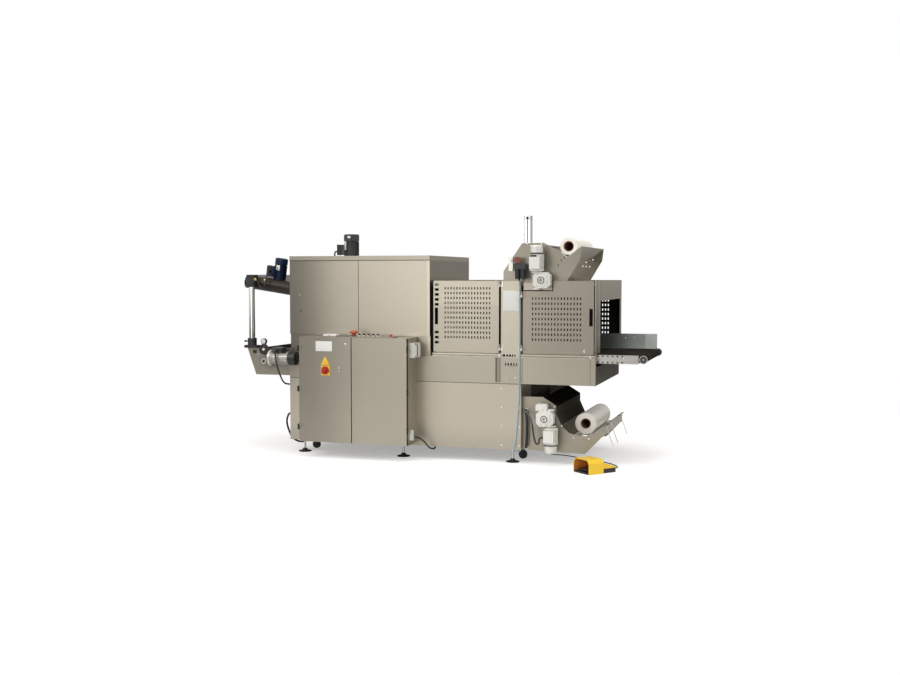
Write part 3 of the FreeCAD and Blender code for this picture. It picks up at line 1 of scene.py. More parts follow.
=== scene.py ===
import math
import bpy
import numpy as np
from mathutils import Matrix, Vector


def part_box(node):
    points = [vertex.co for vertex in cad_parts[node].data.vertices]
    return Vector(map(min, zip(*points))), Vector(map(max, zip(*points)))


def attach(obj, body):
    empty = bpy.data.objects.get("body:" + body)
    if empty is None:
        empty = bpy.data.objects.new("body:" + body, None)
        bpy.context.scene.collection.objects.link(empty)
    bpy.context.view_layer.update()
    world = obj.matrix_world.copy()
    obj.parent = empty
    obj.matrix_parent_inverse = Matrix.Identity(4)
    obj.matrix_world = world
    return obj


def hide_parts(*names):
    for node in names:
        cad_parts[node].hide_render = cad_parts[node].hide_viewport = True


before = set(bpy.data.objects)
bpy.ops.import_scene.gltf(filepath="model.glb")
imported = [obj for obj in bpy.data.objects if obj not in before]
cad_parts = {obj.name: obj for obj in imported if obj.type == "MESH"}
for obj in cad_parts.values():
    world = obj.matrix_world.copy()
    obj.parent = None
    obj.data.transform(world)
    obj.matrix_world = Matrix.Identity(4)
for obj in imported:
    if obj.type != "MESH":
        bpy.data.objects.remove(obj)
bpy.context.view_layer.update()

print("frame loaded:", len(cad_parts), "nodes")

# the CAD source counts in machine millimetres, and the part's frame is in metres about its middle.
# the bed ends at 695 mm on the right and its front is at 0 mm
bedLow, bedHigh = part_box("transfer_bed")
machineMiddle = np.array([695.0 - bedHigh[0] * 1000.0, -bedLow[1] * 1000.0, 0.0])


def place(points):
    # machine millimetres to metres: take the middle away, then divide by a thousand
    return (np.asarray(points, float) - machineMiddle) / 1000.0


# numbers that vary over a surface, written as plain sums
class Amount:
    # a socket's value: + - * and ** on it add Math nodes
    def __init__(self, finish, socket):
        self.finish = finish
        self.socket = socket

    def maths(self, operation, first, second=None):
        slots = {0: first} if second is None else {0: first, 1: second}
        return self.finish.node("ShaderNodeMath", {"operation": operation}, slots)

    def __add__(self, other):
        return self.maths("ADD", self, other)

    def __radd__(self, other):
        return self.maths("ADD", other, self)

    def __sub__(self, other):
        return self.maths("SUBTRACT", self, other)

    def __rsub__(self, other):
        return self.maths("SUBTRACT", other, self)

    def __mul__(self, other):
        return self.maths("MULTIPLY", self, other)

    def __rmul__(self, other):
        return self.maths("MULTIPLY", other, self)

    def __pow__(self, other):
        return self.maths("POWER", self, other)

    def wave(self):
        return self.maths("SINE", self)

    def above(self, edge):
        return self.maths("GREATER_THAN", self, edge)

    def below(self, edge):
        return self.maths("LESS_THAN", self, edge)

    def rise(self, low, high):
        # 0 at low, 1 at high, with a soft step between them
        return self.finish.node("ShaderNodeMapRange", {"interpolation_type": "SMOOTHSTEP"},
                                {"Value": self, "From Min": low, "From Max": high})


class Finish:
    # one surface finish: a Principled shader and the nodes that feed it.
    # tint, gloss and metalness hold the values so far, patch() changes them in a zone, and done() links them
    def __init__(self, name, colour=(0.5, 0.5, 0.5), metallic=0.0, roughness=0.5, coat=0.0, specular=0.5):
        self.material = bpy.data.materials.new(name)
        self.material.use_nodes = True
        self.tree = self.material.node_tree
        self.shader = self.tree.nodes["Principled BSDF"]
        self.shader.inputs["Coat Weight"].default_value = coat
        self.shader.inputs["Coat Roughness"].default_value = 0.12
        self.shader.inputs["Specular IOR Level"].default_value = specular
        self.tint, self.gloss, self.metalness = colour, roughness, metallic
        self.spot = self.node("ShaderNodeTexCoord", {}, {}, "Object").socket
        parts = self.tree.nodes.new("ShaderNodeSeparateXYZ")
        self.tree.links.new(self.spot, parts.inputs[0])
        self.x, self.y, self.z = [Amount(self, parts.outputs[axis]) for axis in "XYZ"]

    def put(self, socket, value):
        if isinstance(value, Amount):
            self.tree.links.new(value.socket, socket)
        elif isinstance(value, bpy.types.NodeSocket):
            self.tree.links.new(value, socket)
        else:
            if socket.type == "RGBA" and len(value) == 3:
                value = (*value, 1.0)
            socket.default_value = value

    def node(self, kind, settings, slots, output=0):
        made = self.tree.nodes.new(kind)
        for key, value in settings.items():
            setattr(made, key, value)
        for key, value in slots.items():
            self.put(made.inputs[key], value)
        return Amount(self, made.outputs[output])

    def mix(self, share, first, second):
        # colour mix: first at share 0, second at share 1
        return self.node("ShaderNodeMix", {"data_type": "RGBA"}, {0: share, 6: first, 7: second}, 2)

    def scaled(self, colour, shade):
        return self.node("ShaderNodeVectorMath", {"operation": "SCALE"}, {0: colour, "Scale": shade})

    def noise(self, scale, stretch=(1, 1, 1), detail=3.0, rough=0.5):
        spot = self.node("ShaderNodeMapping", {}, {"Vector": self.spot, "Scale": stretch})
        return self.node("ShaderNodeTexNoise", {}, {"Vector": spot, "Scale": scale, "Detail": detail,
                                                    "Roughness": rough})

    def along(self, axis, start, end):
        # 0 at the first machine coordinate, 1 at the second
        value = (self.x, self.y, self.z)[axis]
        low, high = [(edge - machineMiddle[axis]) / 1000.0 for edge in (start, end)]
        return value.rise(low, high)

    def zone(self, x=None, y=None, z=None):
        # 1 inside a box of machine millimetres, 0 outside; None leaves a side open
        inside = None
        for axis, (value, limits) in enumerate(((self.x, x), (self.y, y), (self.z, z))):
            if limits is None:
                continue
            low, high = [(edge - machineMiddle[axis]) / 1000.0 for edge in limits]
            part = value.above(low) * value.below(high)
            inside = part if inside is None else inside * part
        return inside

    def around(self, x=None, y=None, z=None):
        # distance in millimetres from an axis through the two given machine coordinates
        total = None
        for axis, (value, centre) in enumerate(((self.x, x), (self.y, y), (self.z, z))):
            if centre is None:
                continue
            off = (value - (centre - machineMiddle[axis]) / 1000.0) * 1000.0
            total = off * off if total is None else total + off * off
        return total ** 0.5

    def patch(self, inside, colour=None, roughness=None, metallic=None):
        # where inside is 1 the finish changes to the values given
        if colour is not None:
            self.tint = self.mix(inside, self.tint, colour)
        if roughness is not None:
            self.gloss = inside * (roughness - self.gloss) + self.gloss
        if metallic is not None:
            self.metalness = inside * (metallic - self.metalness) + self.metalness

    def shade(self, inside, factor):
        # where inside is 1 the colour is this many times as bright
        self.tint = self.scaled(self.tint, inside * (factor - 1.0) + 1.0)

    def bump(self, height, depth, strength=1.0):
        bumped = self.node("ShaderNodeBump", {}, {"Height": height, "Distance": depth, "Strength": strength})
        self.put(self.shader.inputs["Normal"], bumped)

    def done(self):
        self.put(self.shader.inputs["Base Color"], self.tint)
        self.put(self.shader.inputs["Roughness"], self.gloss)
        self.put(self.shader.inputs["Metallic"], self.metalness)
        return self


def dress(finish, *nodes):
    # gives a CAD node or a piece one finish on all its faces
    for piece in nodes:
        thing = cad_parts[piece] if isinstance(piece, str) else piece
        thing.data.materials.clear()
        thing.data.materials.append(finish.material)


# camera at the photograph's place
view = {
    "spot": (2242.87, -8746.52, 1539.73),  # machine millimetres
    "turn": 17.6,  # degrees to the left of straight at the machine's front
    "drop": 3.2,  # degrees below the horizon
    "lens": 44.0,
}
cameraData = bpy.data.cameras.new("photoCamera")
cameraData.lens = view["lens"]
cameraData.sensor_width = 36.0
cameraData.clip_end = 100.0
camera = bpy.data.objects.new("photoCamera", cameraData)
camera.location = place(view["spot"])
camera.rotation_euler = (math.radians(90 - view["drop"]), 0, math.radians(view["turn"]))
bpy.context.scene.collection.objects.link(camera)
bpy.context.scene.camera = camera

# foot pedal cord: the route's points from the CAD source, in machine millimetres
pedalCord = {
    "radius": 4.0,
    "length": 1.186,  # metres
    "exitTurn": 49.0,
    "tail": (732.0, -215.0, 26.0),
    "tailReach": (155.0, 177.0),
    "low": 4.3,
    "lift": [(868, -46, 12)],
    "floor": [(878, 12), (862, 78), (824, 138), (776, 192), (718, 240), (652, 280), (578, 322), (506, 370),
              (438, 428), (366, 472), (306, 490), (256, 486)],
    "rise": [(216, 474, 14), (192, 460, 44), (180, 450, 82), (166, 446, 118), (136, 446, 146),
             (108, 446, 150), (94, 446, 150)],
}


def makePedalCord(sizes):
    # one quadratic NURBS over the control points: tail, floor curve, then up into the base's gland
    turn = math.radians(sizes["exitTurn"])
    x, y, z = sizes["tail"]
    tail = [(x + reach * math.cos(turn), y + reach * math.sin(turn), z) for reach in sizes["tailReach"]]
    floor = [(px, py, sizes["low"]) for px, py in sizes["floor"]]
    points = place(tail + sizes["lift"] + floor + sizes["rise"])
    curve = bpy.data.curves.new("pedalCord", "CURVE")
    curve.dimensions = "3D"
    curve.bevel_depth = 1.0
    curve.bevel_resolution = 3
    curve.resolution_u = 10
    curve.use_fill_caps = True
    spline = curve.splines.new("NURBS")
    spline.points.add(len(points) - 1)
    spline.points.foreach_set("co", np.c_[points, np.ones(len(points))].ravel())
    spline.points.foreach_set("radius", np.full(len(points), sizes["radius"] / 1000.0))
    spline.order_u = 3
    spline.use_endpoint_u = True
    piece = bpy.data.objects.new("pedalCord", curve)
    bpy.context.scene.collection.objects.link(piece)
    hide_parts("pedal_cord")
    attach(piece, "frame")
    return piece


cordPiece = makePedalCord(pedalCord)
print("camera and cord made")


# surfaces worked out on grids
def addPiece(name, points, faces, body, finish, smooth=True):
    mesh = bpy.data.meshes.new(name)
    mesh.from_pydata(points.tolist(), [], faces)
    mesh.polygons.foreach_set("use_smooth", [smooth] * len(mesh.polygons))
    mesh.update()
    piece = bpy.data.objects.new(name, mesh)
    bpy.context.scene.collection.objects.link(piece)
    if smooth:
        mesh.set_sharp_from_angle(angle=math.radians(35))
    dress(finish, piece)
    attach(piece, body)
    return piece


def ringFaces(copies, steps, around):
    # quads between neighbouring rings of each copy, and one flat cap at each end
    index = np.arange(copies * steps * around).reshape(copies, steps, around)
    following = np.roll(index, -1, axis=2)
    quads = np.stack([index[:, :-1], following[:, :-1], following[:, 1:], index[:, 1:]], -1).reshape(-1, 4)
    return quads.tolist() + index[:, 0, ::-1].tolist() + index[:, -1].tolist()


def turned(name, profile, places, axes, body, finish, around=12):
    # a profile of (radius, height) pairs turned about an axis, for every place at once:
    # centre + height*axis + radius*(cos a*u + sin a*v), with u and v square to the axis
    profile = np.asarray(profile, float)
    places = np.atleast_2d(np.asarray(places, float))
    axes = np.broadcast_to(np.asarray(axes, float), places.shape)
    axes = axes / np.linalg.norm(axes, axis=1, keepdims=True)
    helper = np.where(np.abs(axes[:, 2:3]) > 0.9, (1.0, 0.0, 0.0), (0.0, 0.0, 1.0))
    u = np.cross(helper, axes)
    u = u / np.linalg.norm(u, axis=1, keepdims=True)
    v = np.cross(axes, u)
    a = np.arange(around) * 2 * math.pi / around
    ring = np.cos(a)[None, :, None] * u[:, None, :] + np.sin(a)[None, :, None] * v[:, None, :]
    points = (places[:, None, None, :] + profile[None, :, 1, None, None] * axes[:, None, None, :]
              + profile[None, :, 0, None, None] * ring[:, None, :, :])
    copies, steps = len(places), len(profile)
    return addPiece(name, place(points.reshape(-1, 3)), ringFaces(copies, steps, around), body, finish)


def roundedRing(width, depth, corner, steps=4):
    # outline of a rounded rectangle: four quarter circles of the corner's radius about the inset corners
    a = np.linspace(0, math.pi / 2, steps)
    quarters = []
    for turn, sx, sy in ((0, 1, 1), (1, -1, 1), (2, -1, -1), (3, 1, -1)):
        angle = a + turn * math.pi / 2
        quarters.append(np.c_[sx * (width / 2 - corner) + corner * np.cos(angle),
                              sy * (depth / 2 - corner) + corner * np.sin(angle)])
    return np.concatenate(quarters)


ways = {
    "-y": ((1, 0, 0), (0, 0, 1), (0, -1, 0)),
    "+z": ((1, 0, 0), (0, 1, 0), (0, 0, 1)),
}


def moulded(name, places, size, corner, edge, facing, body, finish, outline=None):
    # a rounded plate: the outline carried along its thickness, drawn in by a quarter round at the face.
    # size is width, height and thickness; facing names the way that the thickness grows from the back's middle,
    # or gives the three directions themselves; outline takes the drawn-in amount and gives the ring
    width, height, thick = size
    bow = np.linspace(0, math.pi / 2, 3)
    inset = np.r_[0.0, edge * (1 - np.cos(bow))]
    rise = np.r_[0.0, thick - edge + edge * np.sin(bow)]
    if outline is None:
        rings = np.stack([roundedRing(width - 2 * i, height - 2 * i, max(corner - i, 0.05)) for i in inset])
    else:
        rings = np.stack([outline(i) for i in inset])
    u, v, n = np.array(ways[facing] if isinstance(facing, str) else facing, float)
    places = np.atleast_2d(np.asarray(places, float))
    points = (places[:, None, None, :] + rings[None, ..., 0:1] * u + rings[None, ..., 1:2] * v
              + rise[None, :, None, None] * n)
    return addPiece(name, place(points.reshape(-1, 3)), ringFaces(len(places), len(rise), rings.shape[1]),
                    body, finish)


# finishes shared by several pieces
def brushedSteel(name, tone, grain=(1, 1, 0.012), warmth=(1.0, 0.92, 0.765), roughness=0.36):
    # stainless sheet: a warm grey, fine lines along the grain and broad faint clouding
    finish = Finish(name, metallic=0.92, roughness=roughness)
    lines = finish.noise(900.0, grain, detail=2.0)
    cloud = finish.noise(2.3, detail=4.0, rough=0.6)
    finish.tint = finish.scaled([tone * part for part in warmth], 0.91 + lines * 0.10 + cloud * 0.09)
    finish.gloss = roughness - 0.05 + lines * 0.10 + cloud * 0.05
    finish.bump(lines, 0.00004, 0.5)
    return finish


def plainMetal(name, colour, roughness=0.35, metallic=1.0, speck=0.06, depth=0.00003):
    # cast, plated or turned metal: small mottling in colour and gloss
    finish = Finish(name, metallic=metallic, roughness=roughness)
    mottle = finish.noise(160.0)
    finish.tint = finish.scaled(colour, 1.0 - speck + mottle * 2 * speck)
    finish.gloss = roughness - speck + mottle * 2.2 * speck
    if depth:
        finish.bump(mottle, depth, 0.3)
    return finish


def moulding(name, colour, roughness=0.45, grainDepth=0.0001, coat=0.0, dust=0.05):
    # plastic, rubber or paint: fine pebble grain and a little dust in broad patches
    finish = Finish(name, coat=coat)
    grain = finish.noise(700.0, detail=2.0)
    cloud = finish.noise(6.0)
    dusty = [min(1.0, c * (1 - dust) + 0.5 * dust) for c in colour]
    finish.tint = finish.mix(cloud.rise(0.45, 0.75), colour, dusty)
    finish.gloss = roughness - 0.05 + cloud * 0.10
    finish.bump(grain, grainDepth, 0.6)
    return finish


black = (0.013, 0.013, 0.013)
paperWhite = (0.74, 0.74, 0.71)

# base and bed: seams of the folded panels; painted shade in the channel left of the post and in the reveal under
# the bed
steelBase = brushedSteel("steelBase", 0.50)
steelBase.shade(steelBase.zone(z=(649.5, 655.5), y=(-5, 1205)), 0.35)
steelBase.shade(steelBase.zone((-139, -122), (-1, 3.2), (664, 868)), 0.34)
steelBase.shade(steelBase.zone((-122, -101), (-1, 3.2), (664, 868)), 0.72)
steelBase.shade(steelBase.zone((-101, -95), (-1, 3.2), (664, 868)), 0.25)
steelBase.shade(steelBase.zone((86, 91), (-1, 3.2), (664, 868)), 0.35)
steelBase.shade(steelBase.zone((649, 653), (-1, 3.2), (664, 868)), 0.40)
steelBase.shade(steelBase.zone((-39, -36), (-1, 3.2), (108, 648)), 0.78)
# painted shade inside the bed, on its right side and on its front band, and painted shade darkening the base
# towards the bottom
steelBase.shade(steelBase.zone((-2001, 691), (3.2, 1196.8), (806.5, 869.5)), 0.40)
steelBase.shade(steelBase.zone(x=(694, 696), z=(656, 900)), 0.42)
steelBase.shade(steelBase.zone(y=(-1, 3.2), z=(656, 870)), 0.86)
steelBase.shade(steelBase.along(2, 330, 100), 0.86)
steelBase.patch(steelBase.zone((79, 81), (360, 1196), (380, 652)), (0.012, 0.011, 0.010), 0.6, 0.0)
dress(steelBase.done(), "base_cabinet", "transfer_bed")

steelSill = brushedSteel("steelSill", 0.55, (0.012, 1, 1), roughness=0.30)
# painted shade on the sill's faces behind its front
steelSill.shade(steelSill.zone(y=(3, 25), z=(870, 899)), 0.4)
dress(steelSill.done(), "guard_sills")

# hood: painted shade inside it, and a black strip of painted shadow on its front edge at the gap by the tunnel
steelHood = brushedSteel("steelHood", 0.45)
steelHood.patch(steelHood.zone((-687.6, 687.6), (3.2, 1351.6), (806, 1462.6)), (0.014, 0.012, 0.010),
                0.6, 0.0)
steelHood.patch(steelHood.zone((-691, -668), (-1, 61), (871, 1504)), black, 0.5, 0.0)
# painted highlight on the right front corner, and painted shade, highlight and shade lines on the right side
steelHood.shade(steelHood.zone((686.5, 691), (-1, 14)), 1.35)
steelHood.shade(steelHood.zone((688.5, 691), (95, 112)), 0.55)
steelHood.shade(steelHood.zone((688.5, 691), (165, 200)), 1.35)
steelHood.shade(steelHood.zone((688.5, 691), (222, 240)), 0.60)
steelHood.shader.inputs["Specular IOR Level"].default_value = 0.12
dress(steelHood.done(), "hood_end_frames", "hood_roof", "rear_guard_panels")

steelPost = brushedSteel("steelPost", 0.53)
# painted shade on the post's faces inside the hood
steelPost.patch(steelPost.zone((-90, 73), (3.2, 1350), (806, 1461)), (0.05, 0.045, 0.04), 0.5, 0.5)
steelPost.shade(steelPost.zone((-93.5, -88.5), (-1, 3.2), (871, 1466)), 0.55)
dress(steelPost.done(), "seal_columns")

steelDoor = brushedSteel("steelDoor", 0.46)
# painted shade darkening the right door and painted light brightening the left door's top; painted shade on the
# doors' back faces and in their holes
steelDoor.shade(steelDoor.zone(x=(91, 692)), 0.76)
steelDoor.shade(steelDoor.zone(x=(-692, -91), z=(1300, 1510)), 1.10)
steelDoor.patch(steelDoor.zone(y=(0.9, 40)), (0.020, 0.018, 0.015), 0.5, 0.0)
dress(steelDoor.done(), "guard_door_left", "guard_door_right")

# tunnel: painted light brightening it towards the right and painted shade darkening it towards the left, a painted
# highlight on the folded edge at the right, painted shade in the groove under the lid, on its right side and
# inside it
steelTunnel = brushedSteel("steelTunnel", 0.43)
steelTunnel.shade(steelTunnel.along(0, -2000, -1150), 1.22)
steelTunnel.shade(steelTunnel.along(0, -1500, -2000), 0.50)
steelTunnel.shade(steelTunnel.zone((-734, -709.5), (-5, 14.5), (905, 1671)), 1.16)
steelTunnel.shade(steelTunnel.zone(y=(-5, 14.2), z=(1668.5, 1676.5)), 0.42)
steelTunnel.shade(steelTunnel.zone((-1939.5, -770.5), (60.5, 1089.5), (806, 1611.5)), 0.15)
steelTunnel.shade(steelTunnel.zone(x=(-711, -709)), 0.58)
steelTunnel.patch(steelTunnel.zone((-1939.5, -706), (60.5, 1089.5), (806, 1340)), (0.016, 0.014, 0.012),
                  0.6, 0.0)
dress(steelTunnel.done(), "tunnel_shell", "tunnel_front_panels")

steelLid = brushedSteel("steelLid", 0.44, (0.012, 1, 1))
# painted shade in the groove at the lid's front, and painted shade darkening it towards the left
steelLid.shade(steelLid.zone(y=(-5, 0.5), z=(1671, 1676.5)), 0.35)
steelLid.shade(steelLid.along(0, -1500, -2000), 0.82)
dress(steelLid.done(), "tunnel_lid")

# electrical cabinet: black hinges; painted light brightening it towards the right, painted shade inside, and a
# painted highlight in a thin line near its right side
steelCabinet = brushedSteel("steelCabinet", 0.30)
steelCabinet.shade(steelCabinet.along(0, -1750, -1150), 1.36)
steelCabinet.shade(steelCabinet.zone((-1801, -825), (-246.8, -3.2), (138.2, 1021.8)), 0.45)
for side in ((-1820, -1797), (-829, -810)):
    steelCabinet.patch(steelCabinet.zone(x=side, y=(-270, -249)), black, 0.4, 0.0)
steelCabinet.shade(steelCabinet.zone(x=(-823, -821)), 1.2)
dress(steelCabinet.done(), "cabinet_body", "cabinet_door_left", "cabinet_door_right")

# side plates of the unwinders and of the outfeed
steelPlate = brushedSteel("steelPlate", 0.36, (0.012, 1, 1))
steelPlate.shade(steelPlate.along(2, 1480, 1800), 0.85)
dress(steelPlate.done(), "upper_unwinder_plates", "lower_unwinder_plates", "outfeed_side_plates", "seal_bars")

# the cradle tray of the upper unwinder is bright inside, the end plate below has two black strips
brightSteel = brushedSteel("brightSteel", 0.60, (1, 0.012, 1), (1.0, 0.97, 0.89), 0.34)
brightSteel.metalness = 0.15
dress(brightSteel.done(), "upper_film_tray")

steelEnd = brushedSteel("steelEnd", 0.40, (1, 0.012, 1))
for start in (215, 800):
    steelEnd.patch(steelEnd.zone(y=(start, start + 70), z=(314, 322)), black, 0.5, 0.0)
steelEnd.patch(steelEnd.zone(x=(747, 840), z=(100, 315)), (0.8, 0.79, 0.75), 0.25)
dress(steelEnd.done(), "lower_end_plate")

hingeWhite = plainMetal("hingeWhite", (0.72, 0.71, 0.67), 0.30, metallic=0.6)
dress(hingeWhite.done(), "guard_hinges")

# conveyor rails: a bearing ring at the nose, dark groove and pale hub
railZinc = plainMetal("railZinc", (0.62, 0.61, 0.57), 0.34)
noseWay = railZinc.around(x=1069, z=872)
atNose = railZinc.zone((1030, 1110), None, (830, 910))
railZinc.patch(atNose * noseWay.below(27.0) * noseWay.above(7.5), (0.03, 0.03, 0.03), 0.5, 0.2)
railZinc.patch(atNose * noseWay.above(33.0), (0.05, 0.05, 0.05), 0.5, 0.3)
dress(railZinc.done(), "belt_side_rails")

footSteel = plainMetal("footSteel", (0.62, 0.61, 0.58), 0.28)
footSteel.patch(footSteel.zone(z=(-1, 30)), black, 0.55, 0.0)
dress(footSteel.done(), "levelling_feet")

casterBlack = moulding("casterBlack", (0.014, 0.014, 0.015), 0.5)
casterBlack.patch(casterBlack.zone(z=(82, 109)), (0.45, 0.44, 0.41), 0.35, 0.9)
dress(casterBlack.done(), "casters")

# gear motors: pale cast housings, dark joint lines, dark bore in a pale hub
castGrey = plainMetal("castGrey", (0.76, 0.76, 0.72), 0.44, metallic=0.3)
for hubX, hubZ in ((263, 1506), (294, 383)):
    hubWay = castGrey.around(x=hubX, z=hubZ)
    nearHub = castGrey.zone((hubX - 40, hubX + 40), (-110, -70), (hubZ - 40, hubZ + 40))
    castGrey.patch(nearHub * hubWay.below(29.0) * hubWay.above(21.0), (0.10, 0.10, 0.09), 0.5)
for low, high in ((1571, 1575), (1716, 1728), (312, 319), (162, 173)):
    castGrey.patch(castGrey.zone((150, 420), None, (low, high)), (0.07, 0.07, 0.065), 0.5)
dress(castGrey.done(), "upper_gearmotor", "lower_gearmotor")

outfeedGrey = plainMetal("outfeedGrey", (0.52, 0.51, 0.47), 0.42, metallic=0.5)
outfeedGrey.shade(outfeedGrey.zone(x=(-2260, -2158)), 0.42)
outfeedGrey.patch(outfeedGrey.zone(x=(-1975, -1890)), black, 0.42, 0.0)
outfeedGrey.patch(outfeedGrey.zone((-2120, -1990), None, (868, 925)), (0.05, 0.05, 0.05), 0.4, 0.0)
hubWay = outfeedGrey.around(x=-2206, z=797)
outfeedGrey.patch(outfeedGrey.zone((-2260, -2158), (-115, -90)) * hubWay.below(26.5), (0.5, 0.49, 0.45), 0.35)
dress(outfeedGrey.done(), "outfeed_gearmotor")

chrome = plainMetal("chrome", (0.93, 0.92, 0.90), 0.16, speck=0.01, depth=0.0)
dress(chrome.done(), "duct_posts")

# press cylinder: bright profile, dark groove along the front, darker end caps with black ports
aluminium = plainMetal("aluminium", (0.74, 0.75, 0.75), 0.26, speck=0.012, depth=0.0)
aluminium.patch(aluminium.zone((-12.7, -4.3), (560, 574), (1500, 2030)), (0.10, 0.105, 0.11), 0.4)
aluminium.shade(aluminium.zone(z=(2022, 2062), y=(560, 640)), 0.75)
portWay = aluminium.around(x=-8.5, z=2041)
aluminium.patch(aluminium.zone(y=(560, 590), z=(2020, 2062)) * portWay.below(11.0), black, 0.5, 0.0)
dress(aluminium.done(), "press_cylinder")

# air unit: brushed valve, red-brown knob, black bowls
airMetal = plainMetal("airMetal", (0.60, 0.59, 0.56), 0.30)
airMetal.patch(airMetal.zone((24, 140), None, (1480, 1596.5)), (0.010, 0.014, 0.018), 0.22, 0.0)
airMetal.patch(airMetal.zone((20, 140), None, (1596.5, 1645)), (0.030, 0.034, 0.038), 0.4, 0.0)
airMetal.patch(airMetal.zone((26, 90), (-70, -37.5), (1643, 1700)), (0.21, 0.045, 0.030), 0.38, 0.0)
dress(airMetal.done(), "air_unit")

rollerSteel = plainMetal("rollerSteel", (0.42, 0.41, 0.38), 0.28)
dress(rollerSteel.done(), "belt_rollers", "upper_unwinder_rollers", "lower_unwinder_rollers")

blackPlastic = moulding("blackPlastic", (0.016, 0.016, 0.017), 0.38)
dress(blackPlastic.done(), "duct_clamps", "pedal_base", cordPiece)

# cables are black, the conduit's upper half is grey
cableBlack = moulding("cableBlack", (0.016, 0.016, 0.017), 0.42)
cableBlack.patch(cableBlack.zone((85, 250), None, (330, 520)), (0.10, 0.10, 0.10), 0.4)
dress(cableBlack.done(), "machine_cables")

# hand wheel: pale hub, pale dial with a dark rim
wheelBlack = moulding("wheelBlack", (0.015, 0.015, 0.016), 0.32)
wheelWay = wheelBlack.around(x=-2231, z=897)
wheelBlack.patch(wheelBlack.zone(y=(-70, -53)) * wheelWay.below(12.5), (0.62, 0.61, 0.58), 0.3)
dialWay = wheelBlack.around(x=-2248, z=965)
wheelBlack.patch(wheelBlack.zone(y=(-30, -25)) * dialWay.below(21.0), (0.70, 0.70, 0.68), 0.3)
dress(wheelBlack.done(), "hand_wheel")

# console on the cabinet: pale displays, dark strip, red and black buttons
consoleSteel = brushedSteel("consoleSteel", 0.30, (0.012, 1, 1))
high = (1034, 1100)
for start in (-1600, -1536):
    consoleSteel.patch(consoleSteel.zone((start - 1, start + 57), (-200, -100), (1032.5, 1100)),
                       (0.62, 0.62, 0.60), 0.25, 0.0)
consoleSteel.patch(consoleSteel.zone((-1471, -1364), (-200, -100), (1032.5, 1100)), (0.02, 0.018, 0.016),
                   0.2, 0.0)
consoleSteel.patch(consoleSteel.zone((-1352, -1308), None, high), black, 0.4, 0.0)
consoleSteel.patch(consoleSteel.zone((-1360, -1308), None, (1053.5, 1100)), (0.52, 0.035, 0.014), 0.3, 0.0)
for number in range(5):
    buttonX = -1285 + number * 42
    buttonWidth = (buttonX - 15, buttonX + 15)
    consoleSteel.patch(consoleSteel.zone(buttonWidth, None, high), (0.80, 0.79, 0.75), 0.3, 0.3)
    consoleSteel.patch(consoleSteel.zone(buttonWidth, None, (1041.5, 1100)), black, 0.35, 0.0)
consoleSteel.patch(consoleSteel.zone((-1015, -980), None, high), (0.50, 0.05, 0.02), 0.35, 0.0)
dress(consoleSteel.done(), "control_console")

# main switch: yellow plate, red knob and grip; bright locks beside it
switchYellow = moulding("switchYellow", (0.83, 0.52, 0.02), 0.4)
switchYellow.patch(switchYellow.zone((-1600, -1500), (-290, -253.2)), (0.42, 0.020, 0.012), 0.32)
switchYellow.patch(switchYellow.zone(x=(-1460, -1400)), (0.60, 0.59, 0.56), 0.3, 0.9)
dress(switchYellow.done(), "main_switch")

# belts: a fine woven face and a paler worn edge
beltRubber = moulding("beltRubber", (0.024, 0.021, 0.018), 0.55, 0.00015, dust=0.02)
beltRubber.shader.inputs["Specular IOR Level"].default_value = 0.0
warp = (beltRubber.x * 2100.0).wave() * (beltRubber.y * 2100.0).wave()
beltRubber.bump(warp, 0.00015, 0.5)
beltRubber.patch(beltRubber.zone(y=(65, 67)), (0.05, 0.05, 0.05), 0.6)
dress(beltRubber.done(), "conveyor_belts")

ductBrown = moulding("ductBrown", (0.020, 0.011, 0.006), 0.42, dust=0.02)
ductBrown.shader.inputs["Specular IOR Level"].default_value = 0.35
ductBrown.patch(ductBrown.zone((-2470, -2350)), black, 0.35)
dress(ductBrown.done(), "cooling_duct")

motorBlue = moulding("motorBlue", (0.003, 0.013, 0.038), 0.36, dust=0.0)
motorBlue.shader.inputs["Specular IOR Level"].default_value = 0.3
motorBlue.patch(motorBlue.zone((-2300, -2226)), (0.020, 0.026, 0.040), 0.4)
dress(motorBlue.done(), "cooling_motor")

motorGreen = moulding("motorGreen", (0.032, 0.040, 0.036), 0.40)
motorGreen.patch(motorGreen.zone((-1770, -1700)), (0.010, 0.012, 0.012), 0.4)
dress(motorGreen.done(), "tunnel_fan_motor")

guideSteel = brushedSteel("guideSteel", 0.58, (0.012, 1, 1), (0.94, 1.0, 0.95), 0.42)
# painted shade darkening the guide towards the left, and painted light on its part beyond the fold on the right
guideSteel.shade(guideSteel.along(0, 900, 600), 0.30)
guideSteel.shade(guideSteel.zone(x=(951, 1060)), 1.12)
dress(guideSteel.done(), "infeed_guide")

hoseBlue = moulding("hoseBlue", (0.34, 0.55, 0.70), 0.30, coat=0.2)
dress(hoseBlue.done(), "air_hose")

socketWhite = moulding("socketWhite", (0.70, 0.70, 0.66), 0.38)
socketWhite.patch(socketWhite.zone(y=(-158, -130)), (0.10, 0.10, 0.10), 0.4)
dress(socketWhite.done(), "side_sockets")

